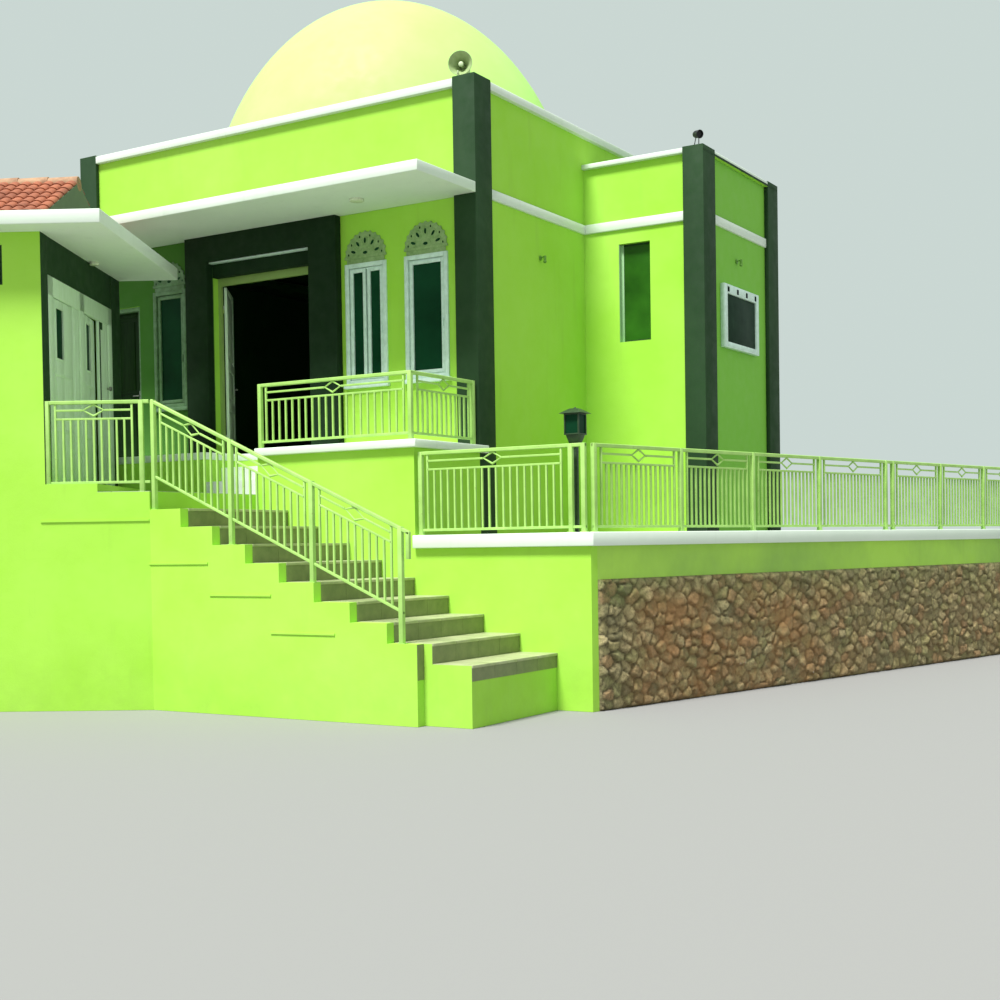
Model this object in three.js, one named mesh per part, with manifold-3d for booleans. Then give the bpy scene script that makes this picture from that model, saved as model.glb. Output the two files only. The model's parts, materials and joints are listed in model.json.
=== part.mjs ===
// A small single-storey mosque on a slope: a square domed hall with a side wing, a porch under a flat
// canopy, a turned annex at the left, a stair and landing, and a railed terrace over a stone road wall.
// Millimetres, +Z up, +X along the front to the right, +Y into the depth of the hall.
// The plan is drawn from the hall's front right corner and centred on its own footprint at the end.
import * as THREE from 'three';
import { mergeVertices } from 'three/addons/utils/BufferGeometryUtils.js';
import Module from 'manifold-3d';

const wasm = await Module();
wasm.setup();

// Levels above the lowest point of the ground
const SOFFIT = 5940;
const ROOF_TOP = 6065;
const COPING_BOTTOM = 7240;
const COPING_TOP = 7340;
const PILASTER_TOP = 7360;
const WING_COPING_BOTTOM = 6810;
const WING_COPING_TOP = 6875;
const WING_PILASTER_TOP = 6890;
const FLOOR = 2935;
const PORCH_UNDERSIDE = 2845;
const LANDING = 2386;
const ANNEX_FLOOR = 2480;
const TERRACE_WALL_TOP = 1720;
const TERRACE_COPING_TOP = 1865;
const STONE_TOP = 1370;

// Hall plan
const HALL = 6680;
const PILASTER_FRONT = 315;
const PILASTER_SIDE = 375;
const PROUD = 60;
const BAND_INSET = 30;
const WALL = 150;
const WALL_FACE = PROUD;
const WALL_BACK = PROUD + WALL;
const HALL_BACK = HALL - PROUD;
const HALL_LEFT = -HALL + PROUD;

// Wing plan
const WING_FRONT = 2856;
const WING_BACK = 5460;
const WING_SIDE = 1658;
const WING_PILASTER_FRONT = 292;
const WING_PILASTER_SIDE = 397;

// Horn loudspeaker on the parapet: centre of its mouth, and its turn from straight ahead
const HORN_X = -232;
const HORN_Y = 60;
const HORN_Z = 7524;
const HORN_LENGTH = 330;
const HORN_TURN = THREE.MathUtils.degToRad(20);

// Small loudspeaker on the wing and garden lantern at the terrace corner
const SPEAKER_X = 1565;
const SPEAKER_Y = 2950;
const LANTERN_X = 1955;
const LANTERN_Y = -1230;

// Dome
const DOME_RADIUS = 2800;
const DOME_HEIGHT = 3750;
const DOME_X = -3500;
const DOME_Y = 3250;
const DOME_SHELL = 100;

// Porch and canopy
const PORCH_DEPTH = 1381;
const SLAB_NOSE = 60;
const CANOPY_DEPTH = 1228;
const STEPS_LEFT = -3100;
const STEPS_RIGHT = -2270;
const STEP_DEPTH = 280;

// Entry
const PORTAL_LEFT = -4250;
const PORTAL_RIGHT = -2515;
const PORTAL_PIER_LEFT = -4640;
const PORTAL_PIER_RIGHT = -2070;
const PORTAL_LINTEL = 5600;
const PORTAL_FRAME_HEAD = 5400;
const PORTAL_FRAME_CLEAR = 5300;
const PORTAL_JAMB = 45;
const LEAF = 40;
const LEAF_GAP = 8;
const SEAM = 0.4;
const HINGE_OFFSET = 8;
const KNUCKLE = 7;
const KNUCKLE_HEIGHT = 50;
const PORTAL_LEFT_OPEN = 126;
const PORTAL_RIGHT_OPEN = 105;
const LEAF_BOTTOM = FLOOR + 10;
const PORTAL_LEAF_TOP = PORTAL_FRAME_CLEAR - 8;
const SIDE_DOOR_LEFT = -6365;
const SIDE_DOOR_RIGHT = -5620;
const SIDE_DOOR_HEAD = 5160;
const SIDE_DOOR_JAMB = 55;

// Windows of the hall front: left and right edge of the outer casing, and its lower edge
const WINDOW_HEAD = 5310;
const CASING = 55;
const WINDOWS = [
  { name: 'window_front_left', x0: -5340, x1: -4730, sill: 3700, mullion: false },
  { name: 'window_front_middle', x0: -2000, x1: -1360, sill: 3790, mullion: true },
  { name: 'window_front_right', x0: -1085, x1: -445, sill: 3790, mullion: false },
];
const ARCH_BASE = 5400;
const ARCH_HEIGHT = 310;
const WING_WINDOW = { x0: 460, x1: 920, z0: 4440, z1: 5750 };

// Stair: nosings counted from the bottom
const TREAD = 450;
const RISER = 198.4;
const FIRST_NOSING_X = 1777;
const FIRST_NOSING_Z = 600;
const TREADS = 9;
const STAIR_FRONT = -3159;
const STRINGER = 118;
const STRINGER_END = 1230;
const STAIR_TOP_X = FIRST_NOSING_X - TREADS * TREAD;

// Annex, turned about the corner where the landing meets the stair
const ANNEX_TURN = THREE.MathUtils.degToRad(30);
const ANNEX_RIGHT = -1141;
const ANNEX_LEFT = -4341;
const ANNEX_DEPTH = 2950;
const ANNEX_SOFFIT = 5225;
const ANNEX_SLAB_TOP = 5375;
const ANNEX_STEP_X = -571;
const ANNEX_DOOR_HEAD = 4800;
const ANNEX_LEAF_HEAD = 4580;
const ANNEX_FRAME_Y0 = 210;
const ANNEX_FRAME_Y1 = 2570;
const ANNEX_FRAME_DEPTH = 50;
const ANNEX_LEAVES = [
  { name: 'annex_leaf_near', y0: 380, y1: 1040, fixed: 1300, open: 0 },
  { name: 'annex_leaf_far', y0: 1480, y1: 2054, fixed: 2420, open: 6 },
];
const ANNEX_PANE = { from: 90, to: 340, low: 3915, high: 4480 };
const ANNEX_RIDGE = 6110;

// Terrace and road wall
const TERRACE_CORNER_X = 2200;
const ROAD_TURN = THREE.MathUtils.degToRad(13.5);
const TERRACE_LENGTH = 8700;
const ROAD_LENGTH = 10200;
const ROAD_WALL = 300;
const CORNER_RETURN = 100;
const COPING_WIDTH = 260;
const COPING_NOSE = 60;

// Railings
const POST = 50;
const RAIL = 40;
const THIN_RAIL = 22;
const BAR = 20;
const PANEL = 190;
const STILE_GAP = 115;

const paint = {
  lime: { color: 0x9be332, roughness: 0.75, metalness: 0 },
  white: { color: 0xeef0ea, roughness: 0.6, metalness: 0 },
  dark: { color: 0x26342a, roughness: 0.7, metalness: 0 },
  dome: { color: 0xd6f08a, roughness: 0.7, metalness: 0 },
  steel: { color: 0x9fd46a, roughness: 0.5, metalness: 0.3 },
  stone: { color: 0x8a7f72, roughness: 0.9, metalness: 0 },
  tread: { color: 0xb9b6a6, roughness: 0.6, metalness: 0 },
  tile: { color: 0xb4512f, roughness: 0.8, metalness: 0 },
  wood: { color: 0x20251c, roughness: 0.6, metalness: 0 },
  grey: { color: 0x7d8a70, roughness: 0.5, metalness: 0.2 },
};

const building = new THREE.Group();

/** Adds a named mesh with its own material. */
function add(name, geometry, finish, parent = building) {
  const mesh = new THREE.Mesh(geometry, new THREE.MeshStandardMaterial(paint[finish]));
  mesh.name = name;
  parent.add(mesh);
  return mesh;
}

/** An upright prism over a plan outline, with optional holes cut through it. */
function prism(outline, z0, z1, holes = []) {
  const shape = new THREE.Shape(outline.map(([x, y]) => new THREE.Vector2(x, y)));
  const geometry = new THREE.ExtrudeGeometry(shape, { depth: z1 - z0, bevelEnabled: false });
  geometry.translate(0, 0, z0);
  if (holes.length === 0) {
    return geometry;
  }
  const past = 5;
  return cut(geometry, holes.map((hole) => prism(hole, z0 - past, z1 + past)));
}

/** A slab of wall drawn in x and z, standing between two depths y0 and y1. */
function upright(outline, y0, y1, holes = []) {
  const geometry = prism(outline, 0, y1 - y0, holes);
  return geometry.rotateX(Math.PI / 2).translate(0, y1, 0);
}

function box(x0, x1, y0, y1, z0, z1) {
  const geometry = new THREE.BoxGeometry(x1 - x0, y1 - y0, z1 - z0);
  return geometry.translate((x0 + x1) / 2, (y0 + y1) / 2, (z0 + z1) / 2);
}

function rectangle(x0, x1, y0, y1) {
  return [[x0, y0], [x1, y0], [x1, y1], [x0, y1]];
}

/** Turns a closed geometry into a solid for joining and cutting. */
function solid(geometry) {
  const bare = geometry.clone();
  bare.deleteAttribute('normal');
  bare.deleteAttribute('uv');
  const merged = mergeVertices(bare, 0.001);
  return new wasm.Manifold(new wasm.Mesh({
    numProp: 3,
    vertProperties: new Float32Array(merged.attributes.position.array),
    triVerts: new Uint32Array(merged.index.array),
  }));
}

/** Gives a solid back as a geometry. */
function geometryOf(body) {
  const mesh = body.getMesh();
  const geometry = new THREE.BufferGeometry();
  geometry.setAttribute('position', new THREE.BufferAttribute(mesh.vertProperties, 3));
  geometry.setIndex(new THREE.BufferAttribute(mesh.triVerts, 1));
  const flat = geometry.toNonIndexed();
  flat.computeVertexNormals();
  return flat;
}

function fuse(geometries) {
  return geometryOf(geometries.map(solid).reduce((whole, piece) => whole.add(piece)));
}

function cut(geometry, cutters) {
  return geometryOf(cutters.map(solid).reduce((whole, piece) => whole.subtract(piece), solid(geometry)));
}

/** A point given along the annex front and into its depth, in the hall's plan. */
function annexPoint(x, y) {
  const c = Math.cos(ANNEX_TURN);
  const s = Math.sin(ANNEX_TURN);
  return [STAIR_TOP_X + x * c - y * s, STAIR_FRONT + x * s + y * c];
}

/** A point given along the road wall and away from the road, in the hall's plan. */
function roadPoint(along, inward) {
  const c = Math.cos(ROAD_TURN);
  const s = Math.sin(ROAD_TURN);
  return [TERRACE_CORNER_X + along * s - inward * c, -PORCH_DEPTH + along * c + inward * s];
}

/** Half of an ellipse standing on its width, as points of an arch. */
function archPoints(x0, x1, z0, height, steps) {
  const middle = (x0 + x1) / 2;
  const half = (x1 - x0) / 2;
  const points = [];
  for (let i = 0; i <= steps; i += 1) {
    const angle = (Math.PI * i) / steps;
    points.push([middle + half * Math.cos(angle), z0 + height * Math.sin(angle)]);
  }
  return points;
}

// Hall

/** The outline of the hall at a distance inside its pilaster faces, notched where the four pilasters stand. */
function notchedSquare(inset) {
  const far = HALL - inset;
  const sideEnd = HALL - PILASTER_SIDE;
  return [
    [-PILASTER_FRONT, inset], [-PILASTER_FRONT, PROUD], [-PROUD, PROUD], [-PROUD, PILASTER_SIDE],
    [-inset, PILASTER_SIDE], [-inset, sideEnd], [-PROUD, sideEnd], [-PROUD, HALL_BACK],
    [-PILASTER_FRONT, HALL_BACK], [-PILASTER_FRONT, far], [-HALL + PILASTER_FRONT, far],
    [-HALL + PILASTER_FRONT, HALL_BACK], [HALL_LEFT, HALL_BACK], [HALL_LEFT, sideEnd],
    [-far, sideEnd], [-far, PILASTER_SIDE], [HALL_LEFT, PILASTER_SIDE], [HALL_LEFT, PROUD],
    [-HALL + PILASTER_FRONT, PROUD], [-HALL + PILASTER_FRONT, inset],
  ];
}

function circle(x, y, radius, steps) {
  const points = [];
  for (let i = 0; i < steps; i += 1) {
    const angle = (2 * Math.PI * i) / steps;
    points.push([x + radius * Math.cos(angle), y + radius * Math.sin(angle)]);
  }
  return points;
}

/** The filled plinth under the hall and the wing, with the floor as its top. */
function makePlinth() {
  const outline = [
    [HALL_LEFT, WALL_FACE], [-PROUD, WALL_FACE], [-PROUD, WING_FRONT], [WING_SIDE, WING_FRONT],
    [WING_SIDE, WING_BACK], [-PROUD, WING_BACK], [-PROUD, HALL_BACK], [HALL_LEFT, HALL_BACK],
  ];
  add('hall_plinth', prism(outline, 0, FLOOR), 'lime');
}

/** Left, back and right walls in one, with a short return beside the side door and the way to the wing. */
function makeHallWalls() {
  const inner = HALL - WALL_BACK;
  const outline = [
    [HALL_LEFT, WALL_FACE], [SIDE_DOOR_LEFT, WALL_FACE], [SIDE_DOOR_LEFT, WALL_BACK],
    [-inner, WALL_BACK], [-inner, inner], [-WALL_BACK, inner], [-WALL_BACK, WALL_FACE],
    [-PROUD, WALL_FACE], [-PROUD, HALL_BACK], [HALL_LEFT, HALL_BACK],
  ];
  const wayHead = 5300;
  const wayMargin = 350;
  const way = box(-WALL_BACK - 50, 0, WING_FRONT + wayMargin, WING_BACK - wayMargin, FLOOR - 1, wayHead);
  add('hall_walls', cut(prism(outline, FLOOR, SOFFIT), [way]), 'lime');
}

/** Opening in the wall behind a window casing, and the arched one behind its pierced head. */
function windowHoles(window) {
  const hole = rectangle(window.x0 + CASING, window.x1 - CASING, window.sill + CASING, WINDOW_HEAD - CASING);
  const margin = 70;
  const arch = archPoints(window.x0 + margin, window.x1 - margin, ARCH_BASE + 20, ARCH_HEIGHT - margin, 12);
  return [hole, arch];
}

function makeHallFront() {
  const [left, middle, right] = WINDOWS;
  add('wall_over_side_door', box(SIDE_DOOR_LEFT, SIDE_DOOR_RIGHT, WALL_FACE, WALL_BACK, SIDE_DOOR_HEAD, SOFFIT),
    'lime');
  add('front_wall_left',
    upright(rectangle(SIDE_DOOR_RIGHT, PORTAL_LEFT, FLOOR, SOFFIT), WALL_FACE, WALL_BACK, windowHoles(left)),
    'lime');
  add('wall_over_portal', box(PORTAL_LEFT, PORTAL_RIGHT, WALL_FACE, WALL_BACK, PORTAL_FRAME_HEAD, SOFFIT), 'lime');
  add('front_wall_right',
    upright(rectangle(PORTAL_RIGHT, -WALL_BACK, FLOOR, SOFFIT), WALL_FACE, WALL_BACK,
      [...windowHoles(middle), ...windowHoles(right)]),
    'lime');
}

/** Roof slab with its white edge proud of the walls, open under the dome. */
function makeRoof() {
  const outline = notchedSquare(BAND_INSET);
  outline[0] = [-PILASTER_FRONT, WALL_FACE];
  outline[outline.length - 1] = [-HALL + PILASTER_FRONT, WALL_FACE];
  const unique = outline.filter(([x, y], i) => {
    const [px, py] = outline[(i + outline.length - 1) % outline.length];
    return x !== px || y !== py;
  });
  const eye = circle(DOME_X, DOME_Y, DOME_RADIUS - DOME_SHELL - 150, 48);
  add('hall_roof', prism(unique, SOFFIT, ROOF_TOP, [eye]), 'white');
}

function makeDome() {
  const steps = 20;
  const profile = [];
  for (let i = 0; i <= steps; i += 1) {
    const angle = (Math.PI / 2) * (1 - i / steps);
    const x = (DOME_RADIUS - DOME_SHELL) * Math.cos(angle);
    profile.push(new THREE.Vector2(i === 0 ? 0 : x, (DOME_HEIGHT - DOME_SHELL) * Math.sin(angle)));
  }
  for (let i = 0; i <= steps; i += 1) {
    const angle = (Math.PI / 2) * (i / steps);
    const x = DOME_RADIUS * Math.cos(angle);
    profile.push(new THREE.Vector2(i === steps ? 0 : x, DOME_HEIGHT * Math.sin(angle)));
  }
  const geometry = new THREE.LatheGeometry(profile, 48);
  geometry.rotateX(Math.PI / 2).translate(DOME_X, DOME_Y, ROOF_TOP);
  add('dome', geometry, 'dome');
}

function makeParapet() {
  const outer = rectangle(HALL_LEFT, -PROUD, WALL_FACE, HALL_BACK);
  const inner = rectangle(HALL_LEFT + WALL, -WALL_BACK, WALL_BACK, HALL_BACK - WALL);
  add('hall_parapet', prism(outer, ROOF_TOP, COPING_BOTTOM, [inner]), 'lime');
  const lip = 30;
  const within = rectangle(HALL_LEFT + WALL + lip, -WALL_BACK - lip, WALL_BACK + lip, HALL_BACK - WALL - lip);
  add('hall_coping', prism(notchedSquare(0), COPING_BOTTOM, COPING_TOP, [within]), 'white');
}

/** A corner pilaster wraps the corner as an angle of raised plaster. The signs point it outward. */
function pilaster(name, x, y, signX, signY, width, depth, top) {
  const outline = [
    [x, y], [x - signX * width, y], [x - signX * width, y + signY * PROUD],
    [x - signX * PROUD, y + signY * PROUD], [x - signX * PROUD, y + signY * depth], [x, y + signY * depth],
  ];
  add(name, prism(outline, 0, top), 'dark');
}

function makePilasters() {
  pilaster('pilaster_front_right', 0, 0, 1, 1, PILASTER_FRONT, PILASTER_SIDE, PILASTER_TOP);
  pilaster('pilaster_front_left', -HALL, 0, -1, 1, PILASTER_FRONT, PILASTER_SIDE, PILASTER_TOP);
  pilaster('pilaster_back_right', 0, HALL, 1, -1, PILASTER_FRONT, PILASTER_SIDE, PILASTER_TOP);
  pilaster('pilaster_back_left', -HALL, HALL, -1, -1, PILASTER_FRONT, PILASTER_SIDE, PILASTER_TOP);
  const side = WING_SIDE + PROUD;
  pilaster('pilaster_wing_front', side, WING_FRONT - PROUD, 1, 1, WING_PILASTER_FRONT, WING_PILASTER_SIDE,
    WING_PILASTER_TOP);
  pilaster('pilaster_wing_back', side, WING_BACK + PROUD, 1, -1, WING_PILASTER_FRONT, WING_PILASTER_SIDE,
    WING_PILASTER_TOP);
}

function makeCanopy() {
  const outline = [
    [-HALL, -CANOPY_DEPTH], [0, -CANOPY_DEPTH], [0, 0], [-PILASTER_FRONT, 0], [-PILASTER_FRONT, WALL_FACE],
    [-HALL + PILASTER_FRONT, WALL_FACE], [-HALL + PILASTER_FRONT, 0], [-HALL, 0],
  ];
  add('front_canopy', prism(outline, SOFFIT, ROOF_TOP), 'white');
}

/** Two piers and a lintel standing proud of the wall round the entry. */
function makePortal() {
  const gate = [
    [PORTAL_PIER_LEFT, FLOOR], [PORTAL_LEFT, FLOOR], [PORTAL_LEFT, PORTAL_LINTEL],
    [PORTAL_RIGHT, PORTAL_LINTEL], [PORTAL_RIGHT, FLOOR], [PORTAL_PIER_RIGHT, FLOOR],
    [PORTAL_PIER_RIGHT, SOFFIT], [PORTAL_PIER_LEFT, SOFFIT],
  ];
  add('entry_portal', upright(gate, -PROUD, WALL_FACE), 'dark');
  const frame = [
    [PORTAL_LEFT, FLOOR], [PORTAL_LEFT + PORTAL_JAMB, FLOOR], [PORTAL_LEFT + PORTAL_JAMB, PORTAL_FRAME_CLEAR],
    [PORTAL_RIGHT - PORTAL_JAMB, PORTAL_FRAME_CLEAR], [PORTAL_RIGHT - PORTAL_JAMB, FLOOR],
    [PORTAL_RIGHT, FLOOR], [PORTAL_RIGHT, PORTAL_FRAME_HEAD], [PORTAL_LEFT, PORTAL_FRAME_HEAD],
  ];
  const leftKnuckles = knuckles(LEAF_BOTTOM, PORTAL_LEAF_TOP, true);
  const rightKnuckles = knuckles(LEAF_BOTTOM, PORTAL_LEAF_TOP, true).map(mirrored);
  add('portal_frame', fuse([
    upright(frame, WALL_BACK - PORTAL_JAMB, WALL_BACK),
    ...leftKnuckles.map((piece) => piece.translate(PORTAL_LEFT + PORTAL_JAMB, WALL_BACK + HINGE_OFFSET, 0)),
    ...rightKnuckles.map((piece) => piece.translate(PORTAL_RIGHT - PORTAL_JAMB, WALL_BACK + HINGE_OFFSET, 0)),
  ]), 'white');
}

/** Knuckles of a leaf's two hinges, round the hinge line at the origin: the frame's half or the leaf's. */
function knuckles(z0, z1, onFrame) {
  const pieces = [];
  for (const foot of [z0 + 250, z1 - 350]) {
    const low = onFrame ? foot : foot + KNUCKLE_HEIGHT + SEAM;
    const high = low + KNUCKLE_HEIGHT;
    const barrel = new THREE.CylinderGeometry(KNUCKLE, KNUCKLE, KNUCKLE_HEIGHT, 12);
    pieces.push(barrel.rotateX(Math.PI / 2).translate(0, 0, (low + high) / 2));
    const flap = onFrame ? [-22, 0] : [2, 30];
    pieces.push(box(...flap, -HINGE_OFFSET - 1, -2, low, high));
  }
  return pieces;
}

/** A door leaf drawn closed along +x from its hinge, with a pull on its outer face. */
function leafGeometry(width, z0, z1, handleZ) {
  const leaf = box(6, width, -HINGE_OFFSET - LEAF, -HINGE_OFFSET, z0, z1);
  const face = -HINGE_OFFSET - LEAF;
  const grip = box(width - 90, width - 70, face - 40, face + 1, handleZ - 12, handleZ + 12);
  const lever = box(width - 190, width - 70, face - 52, face - 38, handleZ - 11, handleZ + 11);
  return fuse([leaf, grip, lever, ...knuckles(z0, z1, false)]);
}

function hung(name, geometry, finish, x, y, angle, parent = building) {
  const group = new THREE.Group();
  group.position.set(x, y, 0);
  group.rotation.z = THREE.MathUtils.degToRad(angle);
  add(name, geometry, finish, group);
  parent.add(group);
}

/** Mirrors a geometry in x and turns its faces outward again. */
function mirrored(geometry) {
  geometry.scale(-1, 1, 1);
  const bare = geometry.index ? geometry.toNonIndexed() : geometry;
  const array = bare.attributes.position.array;
  for (let i = 0; i < array.length; i += 9) {
    for (let k = 0; k < 3; k += 1) {
      const swap = array[i + 3 + k];
      array[i + 3 + k] = array[i + 6 + k];
      array[i + 6 + k] = swap;
    }
  }
  bare.computeVertexNormals();
  return bare;
}

function makeHallDoors() {
  const clear = PORTAL_RIGHT - PORTAL_LEFT - 2 * PORTAL_JAMB;
  const width = clear / 2 - LEAF_GAP;
  const bottom = LEAF_BOTTOM;
  const top = PORTAL_LEAF_TOP;
  const handle = FLOOR + 1050;
  const hingeY = WALL_BACK + HINGE_OFFSET;
  const left = leafGeometry(width, bottom, top, handle);
  hung('portal_leaf_left', left, 'white', PORTAL_LEFT + PORTAL_JAMB, hingeY, PORTAL_LEFT_OPEN);
  const right = mirrored(leafGeometry(width, bottom, top, handle));
  hung('portal_leaf_right', right, 'white', PORTAL_RIGHT - PORTAL_JAMB, hingeY, -PORTAL_RIGHT_OPEN);
  const sideFrame = [
    [SIDE_DOOR_LEFT, FLOOR], [SIDE_DOOR_LEFT + SIDE_DOOR_JAMB, FLOOR],
    [SIDE_DOOR_LEFT + SIDE_DOOR_JAMB, SIDE_DOOR_HEAD - SIDE_DOOR_JAMB],
    [SIDE_DOOR_RIGHT - SIDE_DOOR_JAMB, SIDE_DOOR_HEAD - SIDE_DOOR_JAMB],
    [SIDE_DOOR_RIGHT - SIDE_DOOR_JAMB, FLOOR], [SIDE_DOOR_RIGHT, FLOOR],
    [SIDE_DOOR_RIGHT, SIDE_DOOR_HEAD], [SIDE_DOOR_LEFT, SIDE_DOOR_HEAD],
  ];
  const sideTop = SIDE_DOOR_HEAD - SIDE_DOOR_JAMB - 8;
  const sideHinge = SIDE_DOOR_LEFT + SIDE_DOOR_JAMB;
  const sideKnuckles = knuckles(bottom, sideTop, true).map((piece) => piece.translate(sideHinge, hingeY, 0));
  add('side_door_frame', fuse([upright(sideFrame, WALL_BACK - 120, WALL_BACK), ...sideKnuckles]), 'white');
  const sideWidth = SIDE_DOOR_RIGHT - SIDE_DOOR_LEFT - 2 * SIDE_DOOR_JAMB - LEAF_GAP;
  const side = leafGeometry(sideWidth, bottom, sideTop, handle);
  hung('side_door_leaf', side, 'wood', sideHinge, hingeY, 0);
}

/** Casing, inner frame, pane and arched pierced head of one window, as one moulded unit. */
function windowUnit({ name, x0, x1, sill, mullion }) {
  const casingFace = 25;
  const frame = 40;
  const paneY = WALL_FACE + 70;
  const hole = rectangle(x0 + CASING + frame, x1 - CASING - frame, sill + CASING + frame,
    WINDOW_HEAD - CASING - frame);
  const pieces = [
    upright(rectangle(x0, x1, sill, WINDOW_HEAD), WALL_FACE - casingFace, WALL_FACE,
      [rectangle(x0 + CASING, x1 - CASING, sill + CASING, WINDOW_HEAD - CASING)]),
    upright(rectangle(x0 + CASING, x1 - CASING, sill + CASING, WINDOW_HEAD - CASING), WALL_FACE - 5, WALL_FACE + 90,
      [hole]),
    box(x0 + CASING + 1, x1 - CASING - 1, paneY, paneY + 10, sill + CASING + 1, WINDOW_HEAD - CASING - 1),
    box(x0 - 25, x1 + 25, WALL_FACE - 55, WALL_FACE, sill - 45, sill + 5),
    upright(pierced(x0, x1).outline, WALL_FACE - casingFace, WALL_FACE, pierced(x0, x1).holes),
    box(x0 + CASING, x1 - CASING, WALL_FACE - casingFace, WALL_FACE, WINDOW_HEAD - 2, ARCH_BASE + 2),
  ];
  if (mullion) {
    const middle = (x0 + x1) / 2;
    pieces.push(box(middle - 40, middle + 40, WALL_FACE - 5, WALL_FACE + 90, sill + CASING, WINDOW_HEAD - CASING));
  }
  add(name, fuse(pieces), 'white');
}

/** The arched head: an ellipse outline with a fan of petals and a small round cut between them. */
function pierced(x0, x1) {
  const outline = archPoints(x0, x1, ARCH_BASE, ARCH_HEIGHT, 16);
  const middle = (x0 + x1) / 2;
  const petals = 5;
  const holes = [];
  for (let i = 0; i < petals; i += 1) {
    const angle = Math.PI * ((i + 0.5) / petals);
    const along = [Math.cos(angle), Math.sin(angle)];
    const half = 34;
    const scaleX = (x1 - x0) / 2;
    const from = 0.34;
    const to = 0.84;
    const at = (r, side) => [
      middle + along[0] * r * scaleX - along[1] * side * half,
      ARCH_BASE + 18 + along[1] * r * (ARCH_HEIGHT - 18) + along[0] * side * half,
    ];
    holes.push([at(from, 0), at((from + to) / 2, -1), at(to, 0), at((from + to) / 2, 1)]);
  }
  return { outline, holes };
}

// Wing

function makeWing() {
  const inner = WING_SIDE - WALL;
  const walls = [
    [-PROUD, WING_FRONT], [WING_SIDE, WING_FRONT], [WING_SIDE, WING_BACK], [-PROUD, WING_BACK],
    [-PROUD, WING_BACK - WALL], [inner, WING_BACK - WALL], [inner, WING_FRONT + WALL],
    [-PROUD, WING_FRONT + WALL],
  ];
  const { x0, x1, z0, z1 } = WING_WINDOW;
  const hole = box(x0, x1, WING_FRONT - 10, WING_FRONT + WALL + 10, z0, z1);
  add('wing_walls', cut(prism(walls, FLOOR, SOFFIT), [hole]), 'lime');
  add('wing_parapet', prism(walls, ROOF_TOP, WING_COPING_BOTTOM), 'lime');
  const band = PROUD - BAND_INSET;
  const pilasterX = WING_SIDE + PROUD - WING_PILASTER_FRONT;
  const pilasterY0 = WING_FRONT - PROUD + WING_PILASTER_SIDE;
  const pilasterY1 = WING_BACK + PROUD - WING_PILASTER_SIDE;
  add('wing_roof', prism([
    [-BAND_INSET, WING_FRONT - band], [pilasterX, WING_FRONT - band], [pilasterX, WING_FRONT],
    [WING_SIDE, WING_FRONT], [WING_SIDE, pilasterY0], [WING_SIDE + band, pilasterY0],
    [WING_SIDE + band, pilasterY1], [WING_SIDE, pilasterY1], [WING_SIDE, WING_BACK],
    [pilasterX, WING_BACK], [pilasterX, WING_BACK + band], [-BAND_INSET, WING_BACK + band],
  ], SOFFIT, ROOF_TOP), 'white');
  const lip = 30;
  add('wing_coping', prism([
    [-PROUD, WING_FRONT - PROUD], [pilasterX, WING_FRONT - PROUD], [pilasterX, WING_FRONT],
    [WING_SIDE, WING_FRONT], [WING_SIDE, pilasterY0], [WING_SIDE + PROUD, pilasterY0],
    [WING_SIDE + PROUD, pilasterY1], [WING_SIDE, pilasterY1], [WING_SIDE, WING_BACK],
    [pilasterX, WING_BACK], [pilasterX, WING_BACK + PROUD], [-PROUD, WING_BACK + PROUD],
    [-PROUD, WING_BACK - WALL - lip], [inner - lip, WING_BACK - WALL - lip],
    [inner - lip, WING_FRONT + WALL + lip], [-PROUD, WING_FRONT + WALL + lip],
  ], WING_COPING_BOTTOM, WING_COPING_TOP), 'white');
  const frame = 35;
  const paneY = WING_FRONT + 95;
  add('window_wing', fuse([
    upright(rectangle(x0, x1, z0, z1), paneY - 25, paneY + 30,
      [rectangle(x0 + frame, x1 - frame, z0 + frame, z1 - frame)]),
    box(x0 + 1, x1 - 1, paneY, paneY + 8, z0 + 1, z1 - 1),
  ]), 'white');
}

/** A framed board on the wing's side wall, with its face set back in the frame. */
function makeNoticeBoard() {
  const y0 = 3460;
  const y1 = 4700;
  const z0 = 4345;
  const z1 = 5195;
  const stile = 150;
  const rail = 110;
  const board = box(WING_SIDE, WING_SIDE + 70, y0, y1, z0, z1);
  const recess = box(WING_SIDE + 45, WING_SIDE + 80, y0 + stile, y1 - stile, z0 + rail, z1 - rail);
  add('notice_board', cut(board, [recess]), 'white');
}

// Annex

const annex = new THREE.Group();
annex.position.set(STAIR_TOP_X, STAIR_FRONT, 0);
annex.rotation.z = ANNEX_TURN;
building.add(annex);

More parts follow.
